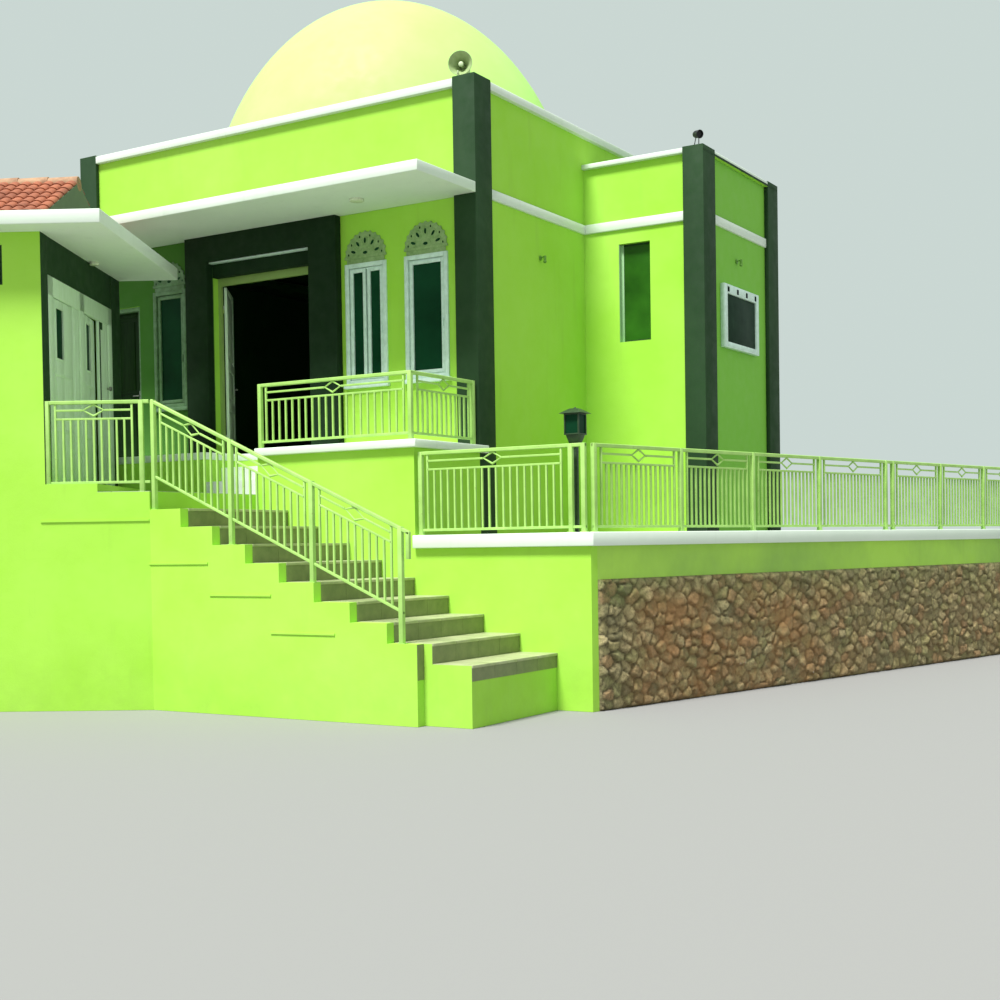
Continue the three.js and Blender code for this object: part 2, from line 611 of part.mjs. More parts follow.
function makeAnnex() {
  const inner = ANNEX_RIGHT - WALL;
  const walls = [
    [ANNEX_LEFT, 0], [ANNEX_RIGHT, 0], [ANNEX_RIGHT, ANNEX_FRAME_Y0], [inner, ANNEX_FRAME_Y0],
    [inner, WALL], [ANNEX_LEFT + WALL, WALL], [ANNEX_LEFT + WALL, ANNEX_DEPTH - WALL],
    [inner, ANNEX_DEPTH - WALL], [inner, ANNEX_FRAME_Y1], [ANNEX_RIGHT, ANNEX_FRAME_Y1],
    [ANNEX_RIGHT, ANNEX_DEPTH], [ANNEX_LEFT, ANNEX_DEPTH],
  ];
  const vent = box(-1990, -1560, -10, WALL + 10, 4656, 5090);
  add('annex_walls', cut(prism(walls, ANNEX_FLOOR, ANNEX_SOFFIT), [vent]), 'lime', annex);
  add('annex_wall_over_doors',
    box(inner, ANNEX_RIGHT, ANNEX_FRAME_Y0 + SEAM, ANNEX_FRAME_Y1 - SEAM, ANNEX_DOOR_HEAD, ANNEX_SOFFIT),
    'dark', annex);
  const frontOverhang = 360;
  const sideOverhang = 770;
  const slab = rectangle(ANNEX_LEFT - 200, ANNEX_RIGHT + sideOverhang, -frontOverhang, ANNEX_DEPTH);
  add('annex_slab', prism(slab, ANNEX_SOFFIT, ANNEX_SLAB_TOP), 'white', annex);
  makeAnnexRoof();
  makeAnnexDoors();
}

/** A low gable of two tiled slopes with closed ends, standing on the slab. */
function makeAnnexRoof() {
  const skin = 90;
  const ridgeY = ANNEX_DEPTH / 2 - 60;
  const half = ridgeY;
  const rise = ANNEX_RIDGE - ANNEX_SLAB_TOP;
  const drop = skin * Math.hypot(half, rise) / half;
  const inset = skin * Math.hypot(half, rise) / rise;
  const chevron = [
    [0, 0], [inset, 0], [half, rise - drop], [2 * half - inset, 0], [2 * half, 0], [half, rise],
  ];
  const length = ANNEX_RIGHT - ANNEX_LEFT;
  const slopes = prism(chevron, 0, length);
  const gable = prism([[1, 0], [2 * half - 1, 0], [half, rise - 1]], 0, 100);
  const otherGable = gable.clone().translate(0, 0, length - 100);
  const roof = fuse([slopes, gable, otherGable]);
  roof.rotateX(Math.PI / 2).rotateZ(Math.PI / 2);
  roof.translate(ANNEX_LEFT, 0, ANNEX_SLAB_TOP);
  add('annex_tiled_roof', roof, 'tile', annex);
}

/** Timber frame with two pairs of leaves. In each pair the far leaf is bolted and counts as frame. */
function makeAnnexDoors() {
  const outer = ANNEX_RIGHT + 10;
  const back = outer - ANNEX_FRAME_DEPTH;
  const bottom = ANNEX_FLOOR + 10;
  const top = ANNEX_LEAF_HEAD - 8;
  const pieces = [];
  let edge = ANNEX_FRAME_Y0 + SEAM;
  for (const leaf of ANNEX_LEAVES) {
    pieces.push(box(back, outer, edge, leaf.y0 - 3, ANNEX_FLOOR, ANNEX_DOOR_HEAD));
    pieces.push(box(back, back + LEAF, leaf.y1 + LEAF_GAP, leaf.fixed + 1, ANNEX_FLOOR, ANNEX_DOOR_HEAD));
    edge = leaf.fixed;
    for (const piece of knuckles(bottom, top, true)) {
      pieces.push(piece.rotateZ(Math.PI / 2).translate(back - HINGE_OFFSET, leaf.y0, 0));
    }
  }
  pieces.push(box(back, outer, edge, ANNEX_FRAME_Y1 - SEAM, ANNEX_FLOOR, ANNEX_DOOR_HEAD));
  pieces.push(box(back, outer, ANNEX_FRAME_Y0 + SEAM, ANNEX_FRAME_Y1 - SEAM, ANNEX_LEAF_HEAD, ANNEX_DOOR_HEAD));
  add('annex_door_frame', fuse(pieces), 'white', annex);
  for (const leaf of ANNEX_LEAVES) {
    const width = leaf.y1 - leaf.y0;
    const { from, to, low, high } = ANNEX_PANE;
    const window = box(from, to, -HINGE_OFFSET - LEAF - 1, -HINGE_OFFSET + 1, low, high);
    const body = box(6, width, -HINGE_OFFSET - LEAF, -HINGE_OFFSET, bottom, top);
    const pane = box(from - 1, to + 1, -HINGE_OFFSET - 24, -HINGE_OFFSET - 16, low - 1, high + 1);
    const geometry = fuse([cut(body, [window]), pane, ...knuckles(bottom, top, false)]);
    hung(leaf.name, geometry, 'white', back - HINGE_OFFSET, leaf.y0, 90 + leaf.open, annex);
  }
}

// Porch, landing and stair

function porchOutline(nose) {
  const slack = 7;
  const setBack = 1150;
  const [annexX, annexY] = annexPoint(ANNEX_RIGHT + slack, 0);
  const along = (y) => annexX - (y - annexY) * Math.tan(ANNEX_TURN);
  const right = nose ? [[nose, -PORCH_DEPTH - nose], [nose, 2 * nose], [0, 2 * nose]] : [[0, -PORCH_DEPTH]];
  return [
    ...right, [0, 0], [-PILASTER_FRONT, 0], [-PILASTER_FRONT, WALL_FACE],
    [-HALL + PILASTER_FRONT, WALL_FACE], [-HALL + PILASTER_FRONT, 0], [-HALL, 0], [-HALL, -setBack],
    [along(-setBack), -setBack], [along(-PORCH_DEPTH), -PORCH_DEPTH], [STEPS_LEFT, -PORCH_DEPTH],
    [STEPS_LEFT, -PORCH_DEPTH + 2 * STEP_DEPTH], [STEPS_RIGHT, -PORCH_DEPTH + 2 * STEP_DEPTH],
    [STEPS_RIGHT, -PORCH_DEPTH - nose],
  ];
}

function makePorch() {
  add('porch_platform', prism(porchOutline(0), 0, PORCH_UNDERSIDE), 'lime');
  add('porch_slab', prism(porchOutline(SLAB_NOSE), PORCH_UNDERSIDE, FLOOR), 'white');
  const rise = (FLOOR - LANDING) / 3;
  const front = -PORCH_DEPTH;
  const profile = [
    [front, 0], [front + 2 * STEP_DEPTH, 0], [front + 2 * STEP_DEPTH, LANDING + 2 * rise],
    [front + STEP_DEPTH, LANDING + 2 * rise], [front + STEP_DEPTH, LANDING + rise], [front, LANDING + rise],
  ];
  const steps = prism(profile, 0, STEPS_RIGHT - STEPS_LEFT);
  steps.rotateX(Math.PI / 2).rotateZ(Math.PI / 2).translate(STEPS_LEFT, 0, 0);
  add('porch_steps', steps, 'white');
}

/** Filled base under the annex and the landing, with the low step before the annex doors. */
function makeLandingBase() {
  const [sideX, sideY] = annexPoint(ANNEX_RIGHT, 0);
  const meet = sideX - (-PORCH_DEPTH - sideY) * Math.tan(ANNEX_TURN);
  const base = prism([
    [STAIR_TOP_X, STAIR_FRONT], [STAIR_TOP_X, -PORCH_DEPTH], [meet, -PORCH_DEPTH],
    annexPoint(ANNEX_RIGHT, ANNEX_DEPTH), annexPoint(ANNEX_LEFT, ANNEX_DEPTH), annexPoint(ANNEX_LEFT, 0),
  ], 0, LANDING);
  const step = prism([
    annexPoint(ANNEX_STEP_X, 0), annexPoint(ANNEX_STEP_X, 1900), annexPoint(ANNEX_RIGHT, 2600),
    annexPoint(ANNEX_RIGHT, ANNEX_DEPTH), annexPoint(ANNEX_LEFT, ANNEX_DEPTH), annexPoint(ANNEX_LEFT, 0),
  ], LANDING - 50, ANNEX_FLOOR);
  add('landing_base', fuse([base, step]), 'lime');
}

/** The stepped profile of the flight in x and z, cut off at a right end. */
function flightProfile(end) {
  const points = [[STAIR_TOP_X, 0]];
  for (let k = TREADS - 1; k >= 0; k -= 1) {
    const z = FIRST_NOSING_Z + k * RISER;
    const left = FIRST_NOSING_X - (k + 1) * TREAD;
    const right = Math.min(FIRST_NOSING_X - k * TREAD, end);
    if (left < end) {
      points.push([left, z], [right, z]);
    }
  }
  points.push([Math.min(FIRST_NOSING_X, end), 0]);
  return points;
}

function makeStair() {
  const flight = flightProfile(Infinity).reverse();
  add('stair_flight', upright(flight, STAIR_FRONT + STRINGER, -PORCH_DEPTH), 'tread');
  const stringer = flightProfile(STRINGER_END).reverse();
  add('stair_stringer', upright(stringer, STAIR_FRONT, STAIR_FRONT + STRINGER), 'lime');
}

// Terrace

function makeTerrace() {
  const wingX = WING_SIDE + PROUD;
  const pilasterX = wingX - WING_PILASTER_FRONT;
  const frontY = WING_FRONT - PROUD;
  const backY = WING_BACK + PROUD;
  const inside = [
    [0, -PORCH_DEPTH], [TERRACE_CORNER_X, -PORCH_DEPTH], roadPoint(CORNER_RETURN, 0),
    roadPoint(CORNER_RETURN, ROAD_WALL), roadPoint(TERRACE_LENGTH, ROAD_WALL), [0, HALL],
    [0, HALL - PILASTER_SIDE], [-PROUD, HALL - PILASTER_SIDE], [-PROUD, WING_BACK], [pilasterX, WING_BACK],
    [pilasterX, backY], [wingX, backY], [wingX, backY - WING_PILASTER_SIDE],
    [WING_SIDE, backY - WING_PILASTER_SIDE], [WING_SIDE, frontY + WING_PILASTER_SIDE],
    [wingX, frontY + WING_PILASTER_SIDE], [wingX, frontY], [pilasterX, frontY], [pilasterX, WING_FRONT],
    [-PROUD, WING_FRONT], [-PROUD, PILASTER_SIDE], [0, PILASTER_SIDE],
  ];
  add('terrace_base', prism(inside, 0, TERRACE_WALL_TOP), 'lime');
  const start = CORNER_RETURN + SEAM;
  const back = ROAD_WALL - SEAM;
  const road = [
    roadPoint(start, back), roadPoint(start, 0), roadPoint(ROAD_LENGTH, 0), roadPoint(ROAD_LENGTH, back),
  ];
  add('road_stone_wall', prism(road, 0, STONE_TOP), 'stone');
  add('road_wall_band', prism(road, STONE_TOP, TERRACE_WALL_TOP), 'lime');
  const noseX = TERRACE_CORNER_X + COPING_NOSE;
  const frontInner = -PORCH_DEPTH + COPING_WIDTH - COPING_NOSE;
  const t = Math.tan(ROAD_TURN);
  const innerAt = (y) => TERRACE_CORNER_X - (COPING_WIDTH - COPING_NOSE) / Math.cos(ROAD_TURN)
    + (y + PORCH_DEPTH) * t;
  add('terrace_coping', prism([
    [0, -PORCH_DEPTH - COPING_NOSE], [noseX, -PORCH_DEPTH - COPING_NOSE], roadPoint(ROAD_LENGTH, -COPING_NOSE),
    roadPoint(ROAD_LENGTH, COPING_WIDTH - COPING_NOSE), [innerAt(frontInner), frontInner], [0, frontInner],
  ], TERRACE_WALL_TOP, TERRACE_COPING_TOP), 'white');
}

// Railings

/**
 * A straight stretch of railing along +x from the origin, with its feet at z = 0: posts, a hand rail and
 * a bottom rail, and between the posts welded panels of bars under a mid rail that holds a diamond.
 */
function railing({ length, height, bottom, posts, panels, pitch, slope = 0, beyond = 0 }) {
  const pieces = [];
  const shear = (x) => slope * x;
  const beam = (from, to, z, size) => {
    const outline = [
      [from, z - size + shear(from)], [to, z - size + shear(to)], [to, z + shear(to)], [from, z + shear(from)],
    ];
    return upright(outline, -size / 2, size / 2);
  };
  for (const x of posts) {
    pieces.push(box(x - POST / 2, x + POST / 2, -POST / 2, POST / 2, shear(x), height + shear(x)));
  }
  pieces.push(beam(0, length + beyond, height, RAIL));
  pieces.push(beam(0, length, bottom, THIN_RAIL + 6));
  const lower = height - PANEL;
  const middle = height - PANEL / 2;
  for (const [from, to] of panels) {
    const centre = (from + to) / 2;
    const half = Math.min(130, (to - from) / 2 - THIN_RAIL);
    for (const x of [from, to]) {
      pieces.push(box(x - THIN_RAIL / 2, x + THIN_RAIL / 2, -THIN_RAIL / 2, THIN_RAIL / 2, bottom - 4 + shear(x),
        height - RAIL / 2 + shear(x)));
    }
    pieces.push(beam(from, to, lower, THIN_RAIL));
    pieces.push(beam(from, centre - half + 8, middle, THIN_RAIL));
    pieces.push(beam(centre + half - 8, to, middle, THIN_RAIL));
    pieces.push(diamond(centre, middle - THIN_RAIL / 2 + shear(centre), half, 75, slope));
    const gaps = Math.round((to - from) / pitch);
    for (let i = 1; i < gaps; i += 1) {
      const x = from + ((to - from) * i) / gaps;
      pieces.push(box(x - BAR / 2, x + BAR / 2, -BAR / 2, BAR / 2, bottom - 4 + shear(x), lower - 4 + shear(x)));
    }
  }
  return fuse(pieces);
}

/** An open diamond of flat bar, standing in x and z and following the slope of its railing. */
function diamond(x, z, halfWidth, halfHeight, slope) {
  const ring = (w, h) => [[x - w, z - slope * w], [x, z - h], [x + w, z + slope * w], [x, z + h]];
  return upright(ring(halfWidth, halfHeight), -9, 9, [ring(halfWidth - 38, halfHeight - 22)]);
}

/** Panels that fill the bays between posts, each kept a little off the post. */
function baysBetween(posts) {
  return posts.slice(1).map((post, i) => [posts[i] + STILE_GAP, post - STILE_GAP])
    .filter(([from, to]) => to - from > 4 * STILE_GAP);
}

function makeRailings() {
  const inset = 34;
  const porchStart = STEPS_RIGHT + 8;
  const porchLength = -inset - porchStart;
  const front = railing({
    length: porchLength, height: 770, bottom: 90, pitch: 98,
    posts: [POST / 2, porchLength - POST / 2], panels: [[STILE_GAP, porchLength - STILE_GAP]],
  });
  front.translate(porchStart, -PORCH_DEPTH + inset, FLOOR);
  add('porch_railing_front', front, 'steel');
  const sideLength = PORCH_DEPTH - inset - POST / 2 - 30;
  const side = railing({
    length: sideLength, height: 770, bottom: 90, pitch: 98,
    posts: [sideLength - POST / 2], panels: [[STILE_GAP, sideLength - STILE_GAP]],
  });
  side.rotateZ(Math.PI / 2).translate(-inset - POST / 2, -PORCH_DEPTH + inset + POST / 2 + SEAM, FLOOR);
  add('porch_railing_side', side, 'steel');

  const landingStart = ANNEX_RIGHT + SEAM;
  const landingLength = 6 - landingStart;
  const landing = railing({
    length: landingLength, height: 1000, bottom: 120, pitch: 88,
    posts: [POST / 2, landingLength - 90], panels: [[STILE_GAP, landingLength - 190]],
  });
  const low = railingFoot(ANNEX_STEP_X, landingLength);
  landing.translate(landingStart, inset, LANDING);
  add('landing_railing', geometryOf(solid(landing).subtract(solid(low))), 'steel', annex);

  const stairY = STAIR_FRONT + inset + 10;
  const topX = STAIR_TOP_X + 12;
  const slope = -RISER / TREAD;
  const height = 1004;
  const length = 3315;
  const handRailEnd = 85;
  const stair = railing({
    length, height, bottom: 190, pitch: 88, slope, beyond: handRailEnd, posts: [],
    panels: [[130, 1030], [1210, 2110], [2300, 3180]],
  });
  const feet = [25, 1125, 2200, 3290].map((x) => {
    const tread = treadUnder(topX + x);
    return box(x - POST / 2, x + POST / 2, -POST / 2, POST / 2, tread - LANDING + SEAM, height - 1 + slope * x);
  });
  const tip = length + handRailEnd;
  const returnLeg = box(tip - RAIL, tip, -RAIL / 2, RAIL / 2, height + slope * tip - 270, height + slope * tip - 5);
  const flightRail = fuse([stair, ...feet, returnLeg]);
  flightRail.translate(topX, stairY, LANDING);
  add('stair_railing', flightRail, 'steel');

  const terraceStart = inset + 10;
  const terraceLength = TERRACE_CORNER_X - 65 - terraceStart;
  const terrace = railing({
    length: terraceLength, height: 925, bottom: 70, pitch: 88,
    posts: [POST / 2, 1916, terraceLength - POST / 2], panels: [[STILE_GAP, 1916 - STILE_GAP]],
  });
  terrace.translate(terraceStart, -PORCH_DEPTH + inset, TERRACE_COPING_TOP);
  add('terrace_railing', terrace, 'steel');

  const roadLength = ROAD_LENGTH - 2 * CORNER_RETURN;
  const posts = [POST / 2, 1490, 2870, 4310, 5920, 6110, 7420, 8720, roadLength - POST / 2];
  const road = railing({
    length: roadLength, height: 925, bottom: 70, pitch: 80, posts, panels: baysBetween(posts),
  });
  const [x, y] = roadPoint(CORNER_RETURN, inset + 20);
  road.rotateZ(Math.PI / 2 - ROAD_TURN).translate(x, y, TERRACE_COPING_TOP);
  add('road_railing', road, 'steel');
}

/** The part of the landing rail's feet that the low step takes up. */
function railingFoot(stepX, length) {
  return box(-length - 200, stepX + 1, -200, 300, 0, ANNEX_FLOOR);
}

/** Height of the tread, or of the landing, under a place on the flight. */
function treadUnder(x) {
  const k = Math.floor((FIRST_NOSING_X - x) / TREAD);
  return FIRST_NOSING_Z + k * RISER;
}

// Small things

/** A horn loudspeaker lying level on a short foot at the parapet's corner, its mouth to the street. */
function makeHorn() {
  const bell = [[0, 0], [55, 0], [55, 85], [38, 95], [45, 150], [70, 210], [110, 270], [150, 318], [150, HORN_LENGTH]];
  const inside = [[140, HORN_LENGTH], [98, 275], [58, 212], [30, 160], [30, 140]];
  const reflector = [[18, 140], [18, 240], [42, 285], [0, 300]];
  const profile = [...bell, ...inside, ...reflector].map(([x, y]) => new THREE.Vector2(x, y));
  const horn = new THREE.LatheGeometry(profile, 24);
  horn.translate(0, -HORN_LENGTH, 0).rotateZ(Math.PI).translate(0, 0, HORN_Z);
  const behind = 130;
  const foot = box(-20, 20, behind - 20, behind + 20, COPING_TOP, HORN_Z - 56);
  add('loudspeaker_horn', fuse([horn, foot]).rotateZ(HORN_TURN).translate(HORN_X, HORN_Y, 0), 'grey');
}

/** A small box loudspeaker on a stalk, standing on the wing's coping behind its front pilaster. */
function makeSmallSpeaker() {
  const low = 6948;
  const high = 7172;
  const cabinet = box(-90, 90, -70, 70, low, high);
  const stalk = box(-18, 18, -18, 18, WING_COPING_TOP, low + 1);
  add('small_loudspeaker', fuse([cabinet, stalk]).translate(SPEAKER_X, SPEAKER_Y, 0), 'dark');
}

/** A square block that narrows upward. */
function taper(lowHalf, highHalf, z0, z1) {
  const geometry = new THREE.CylinderGeometry(highHalf * Math.SQRT2, lowHalf * Math.SQRT2, z1 - z0, 4);
  return geometry.rotateY(Math.PI / 4).rotateX(Math.PI / 2).translate(0, 0, (z0 + z1) / 2);
}

/** A garden lantern on a post inside the terrace corner: collar, glazed body and a flat pyramid for a cap. */
function makeLantern() {
  const lantern = fuse([
    box(-25, 25, -25, 25, TERRACE_COPING_TOP, 2790),
    taper(45, 75, 2780, 2884),
    box(-90, 90, -90, 90, 2883, 3108),
    taper(130, 45, 3107, 3160),
    box(-20, 20, -20, 20, 3159, 3177),
  ]);
  add('garden_lantern', lantern.translate(LANTERN_X, LANTERN_Y, 0), 'dark');
}

makePlinth();
makeHallWalls();
makeHallFront();
makeRoof();
makeDome();
makeParapet();
makePilasters();
makeCanopy();
makePortal();
makeHallDoors();
for (const window of WINDOWS) {
  windowUnit(window);
}
makeWing();
makeNoticeBoard();
makeAnnex();
makePorch();
makeLandingBase();
makeStair();
makeTerrace();
makeRailings();
makeHorn();
makeSmallSpeaker();
makeLantern();

const bounds = new THREE.Box3().setFromObject(building);
const middle = bounds.getCenter(new THREE.Vector3());
building.position.set(-Math.round(middle.x), -Math.round(middle.y), -bounds.min.z);

export default building;
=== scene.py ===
"""A small mosque on a slope: domed hall, side wing, porch, turned annex, stair and railed terrace."""
import json
import math
import random

import bpy
import mathutils
import numpy as np
from mathutils import Matrix, Vector

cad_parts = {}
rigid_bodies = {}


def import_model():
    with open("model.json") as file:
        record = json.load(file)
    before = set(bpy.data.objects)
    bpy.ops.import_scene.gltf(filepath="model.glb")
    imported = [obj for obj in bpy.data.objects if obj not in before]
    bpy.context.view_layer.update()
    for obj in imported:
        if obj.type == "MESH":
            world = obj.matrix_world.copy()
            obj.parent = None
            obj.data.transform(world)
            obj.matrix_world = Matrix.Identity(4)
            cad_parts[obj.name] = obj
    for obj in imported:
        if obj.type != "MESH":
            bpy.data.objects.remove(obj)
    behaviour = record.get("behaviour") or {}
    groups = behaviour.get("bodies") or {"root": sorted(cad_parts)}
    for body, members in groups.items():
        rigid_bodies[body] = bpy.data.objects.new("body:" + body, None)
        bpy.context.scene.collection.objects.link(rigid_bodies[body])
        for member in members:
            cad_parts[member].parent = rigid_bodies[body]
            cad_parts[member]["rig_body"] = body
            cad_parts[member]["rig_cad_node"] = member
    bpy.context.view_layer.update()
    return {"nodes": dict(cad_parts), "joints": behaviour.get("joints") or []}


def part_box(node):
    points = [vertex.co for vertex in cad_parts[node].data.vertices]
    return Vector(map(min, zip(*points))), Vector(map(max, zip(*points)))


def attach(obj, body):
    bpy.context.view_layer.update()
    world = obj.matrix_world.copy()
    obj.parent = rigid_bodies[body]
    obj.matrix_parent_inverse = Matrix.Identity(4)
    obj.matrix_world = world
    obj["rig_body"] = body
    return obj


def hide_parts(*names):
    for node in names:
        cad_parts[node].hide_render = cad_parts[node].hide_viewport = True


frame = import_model()
nodes = frame["nodes"]

# The viewpoint: a passer-by on the far side of the road, low and well to the right of the stair.
# It looks a little up to the left, with the lens and the framing of the picture.
hall_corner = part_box("pilaster_front_right")
corner_x = hall_corner[1].x
corner_y = hall_corner[0].y
ground_drop = 0.45
yaw = math.radians(31.534)
pitch = math.radians(-1.38)
roll = math.radians(-0.878)
ahead = Vector((-math.sin(yaw) * math.cos(pitch), math.cos(yaw) * math.cos(pitch), math.sin(pitch)))
level_right = Vector((math.cos(yaw), math.sin(yaw), 0))
level_up = level_right.cross(ahead)
view_right = level_right * math.cos(roll) + level_up * math.sin(roll)
view_up = level_up * math.cos(roll) - level_right * math.sin(roll)
bpy.ops.object.select_all(action="DESELECT")
bpy.ops.object.camera_add(location=(corner_x + 9.035, corner_y - 14.4093, 1.3025 + ground_drop))
camera = bpy.context.object
camera.rotation_euler = Matrix((view_right, view_up, -ahead)).transposed().to_euler()
camera.data.sensor_width = 36
camera.data.lens = 1.4223 * 36
camera.data.shift_x = 0.0044
camera.data.shift_y = 0.0785
camera.data.clip_end = 500
bpy.context.scene.camera = camera

# A plain pale floor under the lowest ground, a pale surround, and one broad soft light from high on the
# left in front, so that the faces to the right lie in open shade.
bpy.ops.mesh.primitive_plane_add(size=400, location=(0, 0, -0.002))
floor = bpy.context.object
floor.name = "studio_floor"
pale = bpy.data.materials.new("pale_floor")
pale.use_nodes = True
pale.node_tree.nodes["Principled BSDF"].inputs["Base Color"].default_value = (0.27, 0.265, 0.255, 1)
pale.node_tree.nodes["Principled BSDF"].inputs["Roughness"].default_value = 0.9
floor.data.materials.append(pale)
world = bpy.data.worlds.new("studio")
bpy.context.scene.world = world
world.use_nodes = True
world.node_tree.nodes["Background"].inputs["Color"].default_value = (0.80, 0.92, 0.88, 1)
world.node_tree.nodes["Background"].inputs["Strength"].default_value = 0.74
bpy.ops.object.light_add(type="SUN", location=(20, -20, 30))
key = bpy.context.object
key.data.energy = 5.6
key.data.angle = math.radians(14)
key.rotation_euler = Vector((0.06, 0.47, -0.88)).to_track_quat("-Z", "Y").to_euler()
bpy.context.scene.view_settings.view_transform = "Standard"


# Walls of plastered masonry, rolled with lime-green paint that has faded in clouds, grown a little
# chalky, and picked up road dust along the foot. The same plaster carries the other paints too. Inside
# the hall its colour is a dark bottle green, which is painted shade. The wing's right side and the front
# wall to the left of the entry, which lies deep under the roofs, are a deeper green, also painted shade.
def srgb(red, green, blue):
    def linear(value):
        value /= 255
        return value / 12.92 if value <= 0.04045 else ((value + 0.055) / 1.055) ** 2.4
    return (linear(red), linear(green), linear(blue), 1)


def node(tree, kind, **settings):
    made = tree.nodes.new(kind)
    for key_name, value in settings.items():
        setattr(made, key_name, value)
    return made


def noise(tree, scale, detail=4.0, rough=0.55, stretch=(1, 1, 1)):
    place = node(tree, "ShaderNodeTexCoord")
    mapping = node(tree, "ShaderNodeMapping")
    mapping.inputs["Scale"].default_value = stretch
    tree.links.new(place.outputs["Object"], mapping.inputs["Vector"])
    made = node(tree, "ShaderNodeTexNoise")
    made.inputs["Scale"].default_value = scale
    made.inputs["Detail"].default_value = detail
    made.inputs["Roughness"].default_value = rough
    tree.links.new(mapping.outputs["Vector"], made.inputs["Vector"])
    return made.outputs["Fac"]


def ramp(tree, source, low, high, low_value=0.0, high_value=1.0):
    made = node(tree, "ShaderNodeMapRange")
    made.inputs["From Min"].default_value = low
    made.inputs["From Max"].default_value = high
    made.inputs["To Min"].default_value = low_value
    made.inputs["To Max"].default_value = high_value
    tree.links.new(source, made.inputs["Value"])
    return made.outputs["Result"]


def blend_colour(tree, factor, first, second, kind="MIX"):
    made = node(tree, "ShaderNodeMix", data_type="RGBA", blend_type=kind)
    for source, socket in ((factor, 0), (first, 6), (second, 7)):
        if isinstance(source, (tuple, float)):
            made.inputs[socket].default_value = source
        else:
            tree.links.new(source, made.inputs[socket])
    return made.outputs[2]


def bumped(tree, shader, heights):
    """Puts one bump over another, each from a height, a strength and a depth in metres."""
    last = None
    for height, strength, depth in heights:
        made = node(tree, "ShaderNodeBump")
        made.inputs["Strength"].default_value = strength
        made.inputs["Distance"].default_value = depth
        tree.links.new(height, made.inputs["Height"])
        if last:
            tree.links.new(last, made.inputs["Normal"])
        last = made.outputs["Normal"]
    tree.links.new(last, shader.inputs["Normal"])


def bare_material(name, roughness=0.6, metallic=0.0):
    made = bpy.data.materials.new(name)
    made.use_nodes = True
    shader = made.node_tree.nodes["Principled BSDF"]
    shader.inputs["Roughness"].default_value = roughness
    shader.inputs["Metallic"].default_value = metallic
    return made, made.node_tree, shader


def mottled(name, clouds, first, second, grain=None, span=(0.3, 0.7), roughness=0.5, metallic=0.0,
            specular=0.5):
    """A finish of two tones in clouds. The grain is a noise, the strength of its bump and its depth."""
    made, tree, shader = bare_material(name, roughness, metallic)
    shader.inputs["Specular IOR Level"].default_value = specular
    tone = blend_colour(tree, ramp(tree, noise(tree, *clouds), *span), srgb(*first), srgb(*second))
    tree.links.new(tone, shader.inputs["Base Color"])
    if grain:
        bumped(tree, shader, ((noise(tree, *grain[0]), grain[1], grain[2]),))
    return made


def painted_shade_within(tree, outside, inside, centre, reach, rounded=False):
    """Another colour on all that lies within reach of a centre, in a box or in a dome: here painted shade."""
    place = node(tree, "ShaderNodeTexCoord")
    off = node(tree, "ShaderNodeVectorMath", operation="SUBTRACT")
    off.inputs[1].default_value = centre
    tree.links.new(place.outputs["Object"], off.inputs[0])
    part = node(tree, "ShaderNodeVectorMath", operation="DIVIDE")
    part.inputs[1].default_value = reach
    tree.links.new(off.outputs["Vector"], part.inputs[0])
    if rounded:
        size = node(tree, "ShaderNodeVectorMath", operation="LENGTH")
        tree.links.new(part.outputs["Vector"], size.inputs[0])
        farthest = size.outputs["Value"]
    else:
        size = node(tree, "ShaderNodeVectorMath", operation="ABSOLUTE")
        tree.links.new(part.outputs["Vector"], size.inputs[0])
        split = node(tree, "ShaderNodeSeparateXYZ")
        tree.links.new(size.outputs["Vector"], split.inputs[0])
        farthest = split.outputs["X"]
        for axis in ("Y", "Z"):
            larger = node(tree, "ShaderNodeMath", operation="MAXIMUM")
            tree.links.new(farthest, larger.inputs[0])
            tree.links.new(split.outputs[axis], larger.inputs[1])
            farthest = larger.outputs[0]
    within = node(tree, "ShaderNodeMath", operation="LESS_THAN")
    within.inputs[1].default_value = 1.0
    tree.links.new(farthest, within.inputs[0])
    return blend_colour(tree, within.outputs[0], outside, inside)


def painted_plaster(name, colour, faded, soil, soil_amount=0.5, roughness=0.72, shade_zones=(), rounded=False):
    made, tree, shader = bare_material(name, roughness)
    shader.inputs["Specular IOR Level"].default_value = 0.25
    clouds = ramp(tree, noise(tree, 0.55, 5.0, 0.6), 0.35, 0.72)
    body = blend_colour(tree, clouds, srgb(*colour), srgb(*faded))
    streaks = ramp(tree, noise(tree, 2.2, 6.0, 0.6, (3.0, 3.0, 0.35)), 0.58, 0.82, 0.0, 0.14)
    body = blend_colour(tree, streaks, body, srgb(*soil))
    place = node(tree, "ShaderNodeTexCoord")
    split = node(tree, "ShaderNodeSeparateXYZ")
    tree.links.new(place.outputs["Object"], split.inputs[0])
    foot = ramp(tree, split.outputs["Z"], 0.0, 0.95, soil_amount, 0.0)
    patches = ramp(tree, noise(tree, 3.5, 5.0, 0.7), 0.3, 0.7, 0.25, 1.0)
    both = node(tree, "ShaderNodeMath", operation="MULTIPLY")
    tree.links.new(foot, both.inputs[0])
    tree.links.new(patches, both.inputs[1])
    body = blend_colour(tree, both.outputs[0], body, srgb(*soil))
    # Painted shade: darker colours inside the hall and the dome, on the recess left of the entry and on the
    # wing's right side.
    for centre, reach, shade_colour in shade_zones:
        body = painted_shade_within(tree, body, srgb(*shade_colour), centre, reach, rounded)
    tree.links.new(body, shader.inputs["Base Color"])
    tree.links.new(ramp(tree, noise(tree, 6.0), 0.3, 0.7, roughness - 0.1, roughness + 0.12),
                   shader.inputs["Roughness"])
    bumped(tree, shader, ((noise(tree, 1.6, 3.0), 0.25, 0.03), (noise(tree, 55.0, 3.0), 0.22, 0.004)))
    return made


def wear(node_names, material):
    for name in node_names:
        for slot in nodes[name].material_slots:
            slot.material = material


